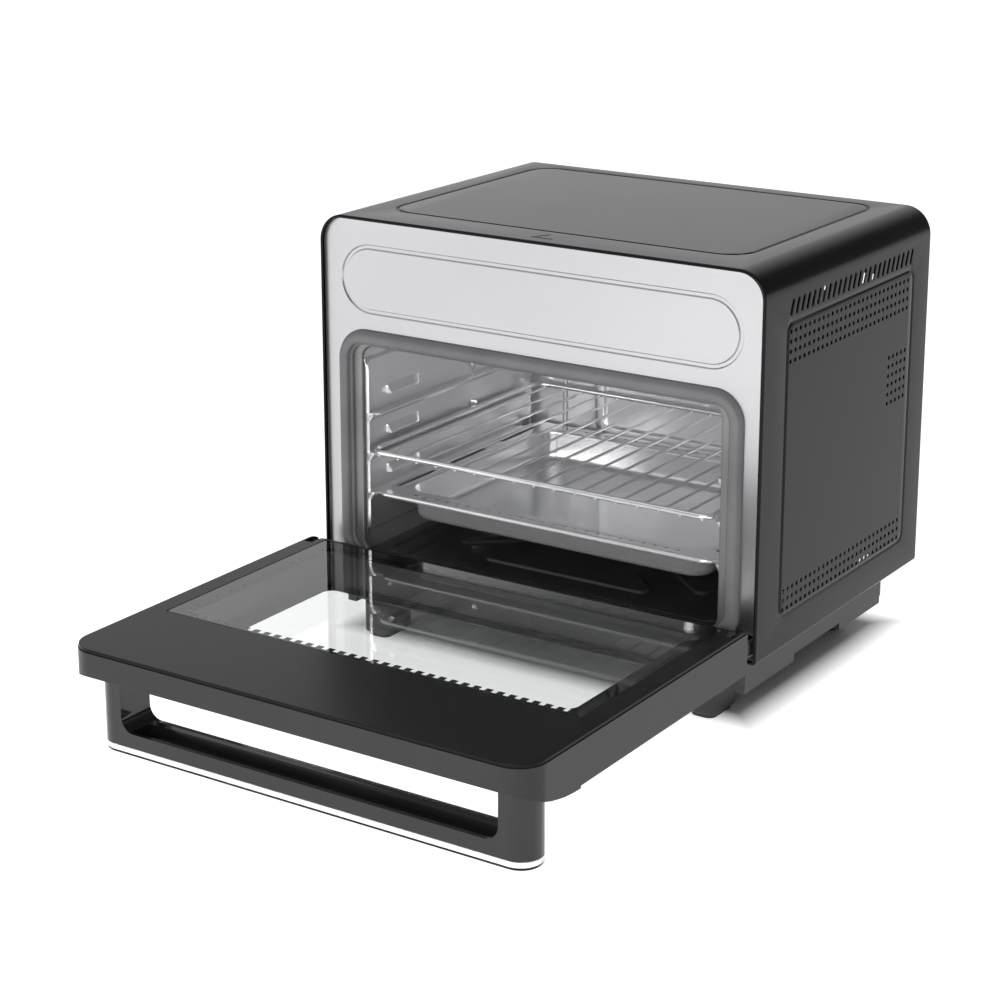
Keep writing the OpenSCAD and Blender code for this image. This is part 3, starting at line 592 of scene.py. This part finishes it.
def side_loops():
    """Everything pressed and punched in a side of the wrapper, in Y and Z."""
    outline = [(EDGE, HEM), (DEPTH, HEM), (DEPTH, HEIGHT - CORNER), (EDGE, HEIGHT - CORNER)]
    loops = [(outline, 0, False)]
    loops += groove(240, 250, 11, (157, HEIGHT / 2 - 10), band=4.4, rise=-1.0, slope=0.34)
    for i in range(LOUVRES):
        centre = (LOUVRE_FRONT + i * LOUVRE_PITCH, HEIGHT - 36)
        for width, height, radius, lift in ((4.2, 14.2, 2.0, 0), (3, 13, 1.49, -0.45)):
            slot = turned(rounded(width, height, radius, centre, 4), centre, LOUVRE_TILT)
            loops.append((slot, lift, lift < 0))
    for columns, rows, skipped, low in ((28, 4, 0, HEIGHT - 80), (5, 6, 23, HEIGHT - 158), (28, 3, 0, 34)):
        loops += vent_loops(columns, rows, (VENT_FRONT + skipped * VENT_PITCH, low))
    return loops


def triangle(size, centre):
    """An even triangle with round corners, pointing back."""
    corner = 0.12 * size
    loop = []
    for k in range(3):
        direction = math.radians(90 + 120 * k)
        tip = (centre[0] + size * math.cos(direction), centre[1] + size * math.sin(direction))
        loop += arc(tip, corner, 30 + 120 * k, 150 + 120 * k, 3)
    return loop


def build_shell():
    """The wrapper: a sheet bent from hem to hem, its detailed sides and top filled in as flat sheets."""
    bm = bmesh.new()
    rows = [(DEPTH, 0), (EDGE, 0)]
    for angle in (30, 60, 90):
        turn = math.radians(angle)
        rows.append((EDGE * (1 - math.sin(turn)), EDGE * (1 - math.cos(turn))))
    rows.append((0, EDGE + 1))
    rings = [[(x, y, z) for x, z in wrapper_section(inset)] for y, inset in rows]
    made = loft(bm, rings, around=False)
    count = len(made[0])
    side_start = HEM_STEPS + 1
    for start in (side_start, count // 2 - 1, count - side_start - 2):
        corners = {made[0][start], made[0][start + 1], made[1][start], made[1][start + 1]}
        doomed = [face for face in made[0][start].link_faces if corners == set(face.verts)]
        bmesh.ops.delete(bm, geom=doomed, context="FACES_ONLY")
    for side in (-1, 1):
        sheet(bm, side_loops(), lambda u, v, lift, side=side: (side * (HALF + lift), u, v))
    top = [(-HALF + CORNER, EDGE), (HALF - CORNER, EDGE), (HALF - CORNER, DEPTH), (-HALF + CORNER, DEPTH)]
    loops = [(top, 0, False)]
    loops += groove(349, 253, 25, (0, 164), band=4.0, rise=-1.4)
    mark_centre = (2, 20)
    for size, lift in ((10.5, 0), (9.8, 0.3), (7.2, 0.3), (6.5, 0)):
        loops.append((triangle(size, mark_centre), lift, False))
    sheet(bm, loops, lambda u, v, lift: (u, v, HEIGHT + lift))
    piece("shell_wrapper", bm, "outer_shell", "oven", satin_black,
          facing=(0, 0, 1), thickness=SHEET, sharp=50)


panel_low, panel_high = extent("front_panel")
seal_low, seal_high = extent("door_gasket")
SEAL_MID = (seal_low.z + seal_high.z) / 2
SEAL_HALF = seal_high.x
SEAL_HALF_HEIGHT = (seal_high.z - seal_low.z) / 2
SEAL_RADIUS = 27
# The front panel reaches this far in under the seal.
SEAL_LAP = 12
PANEL_Y = panel_low.y
PANEL_GAP = 1.1
ARM_X = 208
ARM_Z = 14


def seal_loop(inset, steps=14):
    """The seal's outline in X and Z, inset by some millimetres."""
    width, height = 2 * (SEAL_HALF - inset), 2 * (SEAL_HALF_HEIGHT - inset)
    return rounded(width, height, SEAL_RADIUS - inset, (0, SEAL_MID), steps)


def build_front_panel():
    """The brushed plate with its pressed outline, the mouth under the seal and a slot for each hinge arm."""
    bm = bmesh.new()
    loops = []
    for inset, lift in ((0, -1.1), (0.35, -0.35), (1.2, 0)):
        half, low, high = panel_high.x - inset, panel_low.z + inset, panel_high.z - inset
        loops.append((arch(half, low, high, CORNER - PANEL_GAP - inset), lift, False))
    loops += groove(390, 61, 30.4, (0, 268), band=4.6, rise=-1.4, steps=18, slope=0.22)
    loops.append((seal_loop(SEAL_LAP, 8), 0, True))
    for side in (-1, 1):
        loops.append((rounded(8, 20, 1.5, (side * ARM_X, ARM_Z), 4), -0.3, True))
    sheet(bm, loops, lambda u, v, lift: (u, PANEL_Y - lift, v))
    piece("front_plate", bm, "front_panel", "oven", front_brushed,
          facing=(0, -1, 0), thickness=1.0, sharp=30)


def build_gasket():
    """Two rubber lips in one section of insets and depths: a wide one and, inside it, a thin one."""
    front = seal_low.y
    wide_lip = [(0.3, PANEL_Y), (0, PANEL_Y - 1.2), (0.8, PANEL_Y - 2.4), (2.0, front + 2.0),
                (3.2, front + 0.7), (5.0, front), (7.4, front), (9.6, front + 0.5), (10.8, front + 1.5),
                (11.4, PANEL_Y - 2.0)]
    thin_lip = [(12.6, PANEL_Y - 1.6), (13.3, PANEL_Y - 0.6), (13.3, PANEL_Y + 1.0), (12.4, PANEL_Y + 1.1),
                (12.2, PANEL_Y)]
    rings = []
    for inset, y in wide_lip + thin_lip:
        rings.append([(x, y, z) for x, z in seal_loop(inset)])
    bm = bmesh.new()
    loft(bm, rings, along=True)
    piece("door_seal", bm, "door_gasket", "oven", seal_rubber, sharp=50)


# ---- the cavity ----------------------------------------------------------------------------------

wall_low, wall_high = extent("cavity_right_wall")
WALL_X = wall_high.x - 0.8
LINER_FRONT = wall_low.y
LINER_REAR = wall_high.y
LINER_SHEET = 0.7
FIELD_RISE = 4
FIELD_LONG = LINER_REAR - LINER_FRONT - 10
FIELD_TALL = 156
FIELD_MID = (LINER_FRONT + 2 + FIELD_LONG / 2, 116)
BEAD_WIDTH = 2.4
BEAD_TALL = 168
BEAD_MID = (LINER_FRONT + 3.6, 112)
RAIL_TOPS = (147, 111, 75)
CLIPPED_RAILS = RAIL_TOPS[:2]
# A rail comes out over RAIL_BEND at its top and slopes back to the wall. It rises over LEAD_IN at its front
# end and falls over LEAD_OUT at its rear end. A lug is a short ledge upside down.
RAIL_HEIGHT = 9
RAIL_REACH = 10
RAIL_BEND = 0.8
RAIL_LIP = 2.2
RAIL_START = LINER_FRONT + 2
RAIL_END = LINER_FRONT + 250
LEAD_IN = 9
LEAD_OUT = 6
LUG_FRONT = 40
LUG_REAR = 90
LUG_REACH = 5.5
LUG_ABOVE = 10
CLIP_Y = 176
CLIP_ABOVE = 8
CLIP_SIZE = 4
CLIP_REACH = 5


def ledge(z, top, height, reach):
    """Section of a pressed ledge: out at the top over a short bend, then sloping back to the wall."""
    if z > top or z < top - height:
        return 0
    drop = top - z
    return reach * min(drop / RAIL_BEND, 1) * min((height - drop) / (height - RAIL_LIP), 1)


def side_rise(y, z):
    """How far a side wall of the cavity stands inward of its plane, at a height and depth."""
    rise = FIELD_RISE * ramp(distance_to_box(y, z, FIELD_MID, FIELD_LONG, FIELD_TALL, 10), 4)
    rise += BEAD_WIDTH * ramp(distance_to_box(y, z, BEAD_MID, BEAD_WIDTH, BEAD_TALL, BEAD_WIDTH / 2), 1.8)
    taper = min(max((y - RAIL_START) / LEAD_IN, 0), 1, max((RAIL_END - y) / LEAD_OUT, 0))
    for top in RAIL_TOPS:
        rise += ledge(z, top, RAIL_HEIGHT, RAIL_REACH * math.sin(taper * math.pi / 2))
        if LUG_FRONT <= y <= LUG_REAR:
            stop = min((y - LUG_FRONT) / RAIL_BEND, 1, (LUG_REAR - y) / LEAD_OUT)
            rise += LUG_REACH * stop * ledge(-z, -(top + LUG_ABOVE), RAIL_HEIGHT, 1)
        if top in CLIPPED_RAILS:
            clip_mid = (CLIP_Y, top + CLIP_ABOVE)
            rise += CLIP_REACH * ramp(distance_to_box(y, z, clip_mid, CLIP_SIZE, CLIP_SIZE, 1), 1.2)
    return rise


def build_cavity_side(side, name, node):
    """A side wall's pressed field, rails, lugs and clips, as a relief with fine lines at their edges."""
    y_marks = [FIELD_MID[0] - FIELD_LONG / 2, FIELD_MID[0] + FIELD_LONG / 2, RAIL_START, LINER_FRONT + 5,
               RAIL_START + 7, LUG_FRONT, LUG_REAR, CLIP_Y - CLIP_SIZE / 2, CLIP_Y + CLIP_SIZE / 2,
               RAIL_END - 3, RAIL_END]
    z_mid, z_half = FIELD_MID[1], FIELD_TALL / 2
    z_marks = [z_mid - z_half, z_mid - z_half + 4, z_mid + z_half - 4, z_mid + z_half]
    for top in RAIL_TOPS:
        lug = top + LUG_ABOVE
        z_marks += [top, top - RAIL_LIP, top - RAIL_HEIGHT, lug, lug + RAIL_LIP, lug + RAIL_HEIGHT]
    ys = grid_lines(LINER_FRONT, LINER_REAR, 6, y_marks)
    zs = grid_lines(wall_low.z, wall_high.z, 5, z_marks, (0, 0.7, 1.4, 2.2))
    bm = bmesh.new()
    relief(bm, ys, zs, lambda y, z: (side * (WALL_X - side_rise(y, z)), y, z))
    piece(name, bm, node, "oven", liner_steel,
          facing=(-side, 0, 0), thickness=LINER_SHEET)


REAR_MID = (0, 122)
REAR_PANEL = (212, 100)
REAR_RIM = 10
RIB_X = 141
RIB_WIDTH = 4
RIB_SPAN = (60, 190)


def rear_rise(x, z):
    """How far the cavity's rear wall stands forward of its plane."""
    width, height = REAR_PANEL
    rise = 3 * ramp(distance_to_box(x, z, REAR_MID, width, height, 16), 5)
    rise -= 2.2 * ramp(distance_to_box(x, z, REAR_MID, width - 2 * REAR_RIM, height - 2 * REAR_RIM, 10), 4)
    rib_low, rib_high = RIB_SPAN
    for side in (-1, 1):
        rib_mid = (side * RIB_X, (rib_low + rib_high) / 2)
        rise += 1.6 * ramp(distance_to_box(x, z, rib_mid, RIB_WIDTH, rib_high - rib_low, RIB_WIDTH / 2), 2)
    return rise


def build_cavity_rear():
    """The rear wall with its pressed panel and two ribs, as a relief with fine lines at their edges."""
    rear_low, rear_high = extent("cavity_rear_wall")
    plane = rear_high.y - 0.8
    half_width, half_height = REAR_PANEL[0] / 2, REAR_PANEL[1] / 2
    x_marks = []
    z_marks = list(RIB_SPAN)
    for side in (-1, 1):
        for edge in (half_width, half_width - REAR_RIM, RIB_X + RIB_WIDTH / 2, RIB_X - RIB_WIDTH / 2):
            x_marks.append(side * edge)
        for edge in (half_height, half_height - REAR_RIM):
            z_marks.append(REAR_MID[1] + side * edge)
    xs = grid_lines(rear_low.x, rear_high.x, 7, x_marks)
    zs = grid_lines(rear_low.z, rear_high.z, 6, z_marks)
    bm = bmesh.new()
    relief(bm, xs, zs, lambda x, z: (x, plane - rear_rise(x, z), z))
    piece("cavity_back", bm, "cavity_rear_wall", "oven", liner_steel,
          facing=(0, -1, 0), thickness=LINER_SHEET)


def soft_polygon(corners, radius, grow, steps=5):
    """A convex outline, its corners given anticlockwise, rounded by a radius and then grown outward."""
    count = len(corners)
    normals = []
    for i in range(count):
        edge = Vector(corners[(i + 1) % count]) - Vector(corners[i])
        normals.append(Vector((edge.y, -edge.x)).normalized())
    loop = []
    for i in range(count):
        before, after = normals[i - 1], normals[i]
        reach = radius / (1 + before.dot(after))
        centre = Vector(corners[i]) - (before + after) * reach
        start = math.degrees(math.atan2(before.y, before.x))
        sweep = math.degrees(math.atan2(after.y, after.x)) - start
        loop += arc(centre, radius + grow, start, start + sweep % 360, steps)
    return loop


def build_cavity_floor():
    """Black floor with four raised fields, parted by channels, and a raised rim round them."""
    floor_low, floor_high = extent("cavity_floor")
    middle = (LINER_FRONT + LINER_REAR) / 2
    base = floor_low.z + 2
    width, length = floor_high.x - floor_low.x, floor_high.y - floor_low.y
    centre = (0, (floor_low.y + floor_high.y) / 2)
    loops = [(rounded(width, length, 1, centre, 3), 1.6, False)]
    for inset, lift in ((12, 1.6), (13.5, 1.3), (16, 0.2), (17.5, 0)):
        loops.append((rounded(width - 2 * inset, length - 2 * inset, 22 - inset / 2, centre, 8), lift, False))
    fields = []
    for side in (-1, 1):
        endwise = [(-92, 94 * side), (92, 94 * side), (45, 50 * side), (-45, 50 * side)]
        beside = [(126 * side, -76), (126 * side, 76), (78 * side, 35), (78 * side, -35)]
        fields += [endwise if side < 0 else endwise[::-1], beside if side > 0 else beside[::-1]]
    for corners in fields:
        corners = [(x, y + middle) for x, y in corners]
        for grow, lift in ((1.6, 0), (0.9, 0.25), (0.3, 1.5), (-0.3, 2.3), (-1.2, 2.6)):
            loops.append((soft_polygon(corners, 7, grow), lift, False))
    bm = bmesh.new()
    sheet(bm, loops, lambda u, v, lift: (u, v, base + lift))
    piece("cavity_base", bm, "cavity_floor", "oven", enamel,
          facing=(0, 0, 1), thickness=1.2, sharp=60)


def build_throat():
    """The flange behind the seal, turned back into the cavity with a round bend."""
    frame_low, frame_high = extent("cavity_front_frame")
    front, rear = frame_low.y, frame_high.y
    half = wall_high.x - 4.8
    mouth_height = 188
    most_growth = 4.9
    profile = [(15, front, 20), (3, front, 14), (1.2, front + 0.4, 13), (0.3, front + 1.4, 12), (0, rear, 12),
               (0.8, rear, 12.8), (1, front + 2, 13), (3, front + 1, 14), (15, front + 1, 20)]
    rings = []
    for growth, y, radius in profile:
        height = mouth_height + 2 * min(growth * 0.98, most_growth)
        loop = rounded(2 * (half + growth), height, radius, (0, SEAL_MID - 3), 10)
        rings.append([(x, y, z) for x, z in loop])
    bm = bmesh.new()
    loft(bm, rings, along=True)
    piece("throat_flange", bm, "cavity_front_frame", "oven", throat_steel)


# ---- rack and tray -------------------------------------------------------------------------------


FRAME_WIRE = 2.5
CROSS_WIRE = 1.25
CROSS_WIRES = 17
CROSS_MARGIN = 10
# The frame wire's centre line lies this far inside the two ends of the CAD's rack.
RACK_INSET = 1.5


def build_rack():
    """The frame wire as one closed loop, and the cross wires with round tips under it."""
    rack_low, rack_high = extent("wire_rack")
    half = rack_high.x - FRAME_WIRE
    front = rack_low.y + RACK_INSET
    rear = rack_high.y - RACK_INSET
    middle = (front + rear) / 2
    level = rack_high.z - FRAME_WIRE
    bm = bmesh.new()
    outline = rounded(2 * half, rear - front, 14, (0, middle), 8)
    tube(bm, [(x, y, level) for x, y in outline], FRAME_WIRE, 14, closed=True)
    pitch = 2 * (half - CROSS_MARGIN) / (CROSS_WIRES - 1)
    for i in range(CROSS_WIRES):
        x = -half + CROSS_MARGIN + i * pitch
        path = [(x, y, level - FRAME_WIRE) for y in (front - 0.6, front + 3, middle, rear - 3, rear + 0.6)]
        tube(bm, path, CROSS_WIRE, 10, tip=1.0)
    piece("rack_wires", bm, "wire_rack", "rack", chrome, sharp=60)


TRAY_RADIUS = 16
TRAY_FLANGE = 22
WELL_RADIUS = 20
HOLE_RADIUS = 1.7
HOLE_PITCH = 10.9
HOLES_A_SIDE = 12
SLOT_PITCH = 82


def build_tray():
    """The tray: a flat flange with its holes and slots, a rolled rim round it and a deep well inside it."""
    tray_low, tray_high = extent("baking_tray")
    half, top = tray_high.x, tray_high.z
    middle = (tray_low.y + tray_high.y) / 2
    long = tray_high.y - tray_low.y
    whole = (2 * half, long, TRAY_RADIUS)
    well = (2 * (half - TRAY_FLANGE), long - 2 * TRAY_FLANGE, WELL_RADIUS)

    def outline(size, growth):
        """A rounded outline about the tray's middle, wider and longer by growth."""
        width, length, radius = size
        return rounded(width + growth, length + growth, radius + growth / 2, (0, middle), 10)

    def rings(size, profile):
        """An outline for each growth and height of a profile, heights counted from the flange."""
        return [[(x, y, top + z) for x, y in outline(size, growth)] for growth, z in profile]

    rim = [(-3, 0), (-1.4, -0.3), (-0.4, -1.0), (0, -2.0), (-0.6, -3.2), (-2.4, -3.8)]
    drop = [(3, 0), (1.6, -0.3), (0.6, -1.0), (0, -2.2), (-4, -21), (-5.6, -24.2), (-8.4, -26), (-12, -26.6)]
    loops = [(outline(whole, rim[0][0]), 0, False), (outline(well, drop[0][0]), 0, True)]
    for i in range(-HOLES_A_SIDE, HOLES_A_SIDE + 1):
        for end in (-1, 1):
            centre = (i * HOLE_PITCH, middle + end * (long / 2 - 10))
            loops.append((circle(HOLE_RADIUS, centre), -0.1, True))
    for side in (-1, 1):
        for i in (-1, 0, 1):
            centre = (side * (half - TRAY_FLANGE / 2), middle + i * SLOT_PITCH)
            loops.append((rounded(4, 56, 1.99, centre, 5), -0.1, True))
    bm = bmesh.new()
    sheet(bm, loops, lambda u, v, lift: (u, v, top + lift))
    loft(bm, rings(whole, rim))
    made = loft(bm, rings(well, drop))
    bm.faces.new(made[-1])
    piece("tray_pressing", bm, "baking_tray", "tray", tray_steel,
          facing=(0, 0, 1), thickness=0.7, sharp=55)


# ---- panes and handle ----------------------------------------------------------------------------


PANE_CORNER = 2.5
PANE_CHAMFER = 0.5


def build_pane(name, node, material):
    """A pane of glass with its edges ground, in a CAD node's box."""
    low, high = extent(node)
    width, length = high.x - low.x, high.y - low.y
    centre = ((low.x + high.x) / 2, (low.y + high.y) / 2)
    bm = bmesh.new()
    rings = []
    profile = [(PANE_CHAMFER, low.z), (0, low.z + PANE_CHAMFER),
               (0, high.z - PANE_CHAMFER), (PANE_CHAMFER, high.z)]
    for inset, z in profile:
        loop = rounded(width - 2 * inset, length - 2 * inset, PANE_CORNER, centre, 4)
        rings.append([(x, y, z) for x, y in loop])
    loft(bm, rings, caps=(True, True))
    piece(name, bm, node, "door", material, sharp=30)


def build_handle_strip():
    """The bright strip along the foot of the handle and the black face under it."""
    low, high = extent("handle_trim")
    face_low, _ = extent("handle_face")
    width, depth = high.x - low.x, high.y - low.y
    centre = ((low.x + high.x) / 2, (low.y + high.y) / 2)
    joint = low.z
    strips = [
        ("handle_strip", "handle_trim", trim_chrome, "trim_chrome",
         [(0.5, high.z), (0, high.z - 0.4), (0, joint + 0.5), (0.5, joint + 0.1)]),
        ("handle_foot", "handle_face", door_lacquer, "gloss_black",
         [(0.6, joint), (0.3, joint - 0.2), (0.3, face_low.z + 0.9), (1.1, face_low.z)]),
    ]
    for name, node, material, slot, profile in strips:
        rings = []
        for inset, z in profile:
            loop = rounded(width - 2 * inset, depth - 2 * inset, depth / 2 - inset, centre, 14)
            rings.append([(x, y, z) for x, y in loop])
        bm = bmesh.new()
        loft(bm, rings, caps=(True, True))
        piece(name, bm, node, "door", material, sharp=50)


# ---- build ---------------------------------------------------------------------------------------

build_shell()
build_front_panel()
build_gasket()
build_cavity_side(-1, "cavity_side_left", "cavity_left_wall")
build_cavity_side(1, "cavity_side_right", "cavity_right_wall")
build_cavity_rear()
build_cavity_floor()
build_throat()
build_rack()
build_tray()

inner_low, inner_high = extent("door_inner_glass")
outer_low, outer_high = extent("door_outer_glass")
inner_window = (inner_low.x + 13, inner_low.y + 8, inner_high.x - 13, inner_high.y - 10, 8)
inner_comb = (inner_low.y + 3, inner_low.y + 9, -170, 182, 10.5)
outer_window = (outer_low.x + 26.7, outer_low.y + 35.7, outer_high.x - 26.7, outer_high.y - 19.7, 10)
build_pane("inner_pane", "door_inner_glass", pane("inner_pane_glass", inner_window, inner_comb))
build_pane("outer_pane", "door_outer_glass", pane("outer_pane_glass", outer_window))

softened("door_frame", "door", 0.8, door_plastic)
softened("door_inner_panel", "door", 1.2, door_lacquer, 3)
softened("handle_body", "door", 1.0, gloss_black, 3)
build_handle_strip()
softened("base_pan", "oven", 1.2, black_plastic, 3)
softened("rear_cover", "oven", 0.5, satin_black)
softened("front_feet", "oven", 1.5, black_plastic, 3)
softened("front_foot_pads", "oven", 0.8, foot_rubber)
softened("rear_feet", "oven", 1.2, foot_rubber, 3)
softened("cord_gland", "oven", 0.8, black_plastic)
softened("hinge_bracket_left", "oven", 0.3, plated)
softened("hinge_bracket_right", "oven", 0.3, plated)

CARRIED = {
    "cavity_roof": liner_steel,
    "fan_cover": liner_steel,
    "fan_chamber": liner_sheet_steel,
    "upper_heating_element": heater,
    "lower_heating_element": heater,
    "insulation_boards": wool,
    "temperature_probe": bright,
    "thermal_cutout": wool,
    "motor_bracket": plated,
    "fan_motor": motor_metal,
    "cooling_fan_housing": black_plastic,
    "power_board": laminate,
    "power_components": black_plastic,
    "board_standoffs": bright,
    "hinge_pins": bright,
    "hinge_springs": bright,
    "rear_screws": bright,
    "base_screws": bright,
    "bracket_screws": bright,
    "touch_display": gloss_black,
    "control_board": laminate,
    "control_components": black_plastic,
    "hinge_block_left": plated,
    "hinge_block_right": plated,
    "handle_screws": bright,
    "fan_impeller": liner_sheet_steel,
    "fan_shaft": bright,
    "cooling_impeller": black_plastic,
    "cooling_shaft": bright,
}
for node, material in CARRIED.items():
    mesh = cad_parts[node].data
    mesh.materials.clear()
    mesh.materials.append(material)
    mesh.set_sharp_from_angle(angle=math.radians(CAD_SHARP))


# ---- floor, light and camera ---------------------------------------------------------------------

FLOOR_HALF = 20
FLOOR_GLOW = 1.15
GLOW_FADE = 30
# The ways to the room's two bright parts, the cosines between which each fades in, and their strengths.
BRIGHT_PARTS = (((-0.85, 0.1, 0.5), (0.1, 0.9), 0.35), ((-0.55, 0.85, 0.45), (0.75, 0.97), 0.75))
DIM_PART = 0.06
CAMERA_PLACE = (1.0452, -1.6119, 0.7858)
CAMERA_DIP = 15.66
CAMERA_TURN = 33.52


def build_floor():
    """A plain pale floor that glows like a light table, so that shadows on it stay soft and pale. The glow
    fades out under the oven itself, where it would otherwise take the shadow away."""
    surface = Surface("pale_floor")
    colour = surface.blend(surface.noise(3, 2), (0.78, 0.78, 0.78), (0.81, 0.81, 0.81))
    surface.join(colour, surface.shader.inputs["Base Color"])
    surface.join(colour, surface.shader.inputs["Emission Color"])
    x, y, _ = surface.axes()
    outside = surface.math("MAXIMUM", surface.past(x, 0, HALF), surface.past(y, DEPTH / 2, DEPTH / 2))
    glow = surface.spread(outside, 0.0, FLOOR_GLOW, (-GLOW_FADE, 0))
    surface.join(glow, surface.shader.inputs["Emission Strength"])
    surface.shader.inputs["Roughness"].default_value = 0.9
    surface.shader.inputs["Specular IOR Level"].default_value = 0.0
    bm = bmesh.new()
    bmesh.ops.create_grid(bm, x_segments=1, y_segments=1, size=FLOOR_HALF)
    floor = object_from("floor", bm)
    floor.data.materials.append(surface.material)


def add_softbox(name, place, aim, size, power):
    """A rectangular lamp at a place in metres, turned to face a point."""
    lamp = bpy.data.lights.new(name, "AREA")
    lamp.shape = "RECTANGLE"
    lamp.size = size[0]
    lamp.size_y = size[1]
    lamp.energy = power
    obj = bpy.data.objects.new(name, lamp)
    obj.location = place
    obj.rotation_euler = (Vector(aim) - Vector(place)).to_track_quat("-Z", "Y").to_euler()
    obj.visible_camera = False
    bpy.context.scene.collection.objects.link(obj)


def build_world():
    """A dim room with two bright parts, on the left and at the left behind the oven."""
    world = bpy.data.worlds.new("studio")
    world.use_nodes = True
    tree = world.node_tree
    background = tree.nodes["Background"]
    background.inputs["Color"].default_value = (1, 1, 1, 1)
    direction = tree.nodes.new("ShaderNodeTexCoord").outputs["Generated"]
    both = tree.nodes.new("ShaderNodeMath")
    for socket, (aim, fade, power) in zip(both.inputs, BRIGHT_PARTS):
        towards = tree.nodes.new("ShaderNodeVectorMath")
        towards.operation = "DOT_PRODUCT"
        tree.links.new(direction, towards.inputs[0])
        towards.inputs[1].default_value = Vector(aim).normalized()
        level = tree.nodes.new("ShaderNodeMapRange")
        level.interpolation_type = "SMOOTHSTEP"
        tree.links.new(towards.outputs["Value"], level.inputs["Value"])
        level.inputs["From Min"].default_value = fade[0]
        level.inputs["From Max"].default_value = fade[1]
        level.inputs["To Min"].default_value = DIM_PART
        level.inputs["To Max"].default_value = power
        tree.links.new(level.outputs["Result"], socket)
    tree.links.new(both.outputs[0], background.inputs["Strength"])
    bpy.context.scene.world = world


def build_light():
    """The room, softboxes above, at the left and at the right front, and a low one that fills the cavity.
    The view transform is the plain one, so that the pale floor stays white."""
    build_world()
    add_softbox("top_light", (-0.3, -0.4, 2.6), (0, 0, 0.2), (2.4, 2.4), 12)
    add_softbox("left_light", (-2.0, -2.0, 0.7), (0, 0, 0.2), (1.2, 1.2), 6)
    add_softbox("front_light", (0.9, -2.7, 1.0), (0, 0.1, 0.2), (1.8, 1.4), 11)
    add_softbox("cavity_light", (0.3, -1.3, 0.5), (0, 0.15, 0.12), (0.9, 0.5), 7)
    bpy.context.scene.view_settings.view_transform = "Standard"


def build_camera():
    """The camera in front of the oven and to its right, looking down at it and to the left."""
    camera = bpy.data.cameras.new("camera")
    camera.lens = 87.51
    camera.sensor_width = 36
    camera.shift_y = -0.1
    camera.clip_end = 60
    obj = bpy.data.objects.new("camera", camera)
    obj.location = CAMERA_PLACE
    obj.rotation_euler = (math.radians(90 - CAMERA_DIP), 0, math.radians(CAMERA_TURN))
    bpy.context.scene.collection.objects.link(obj)
    bpy.context.scene.camera = obj


build_floor()
build_light()
build_camera()
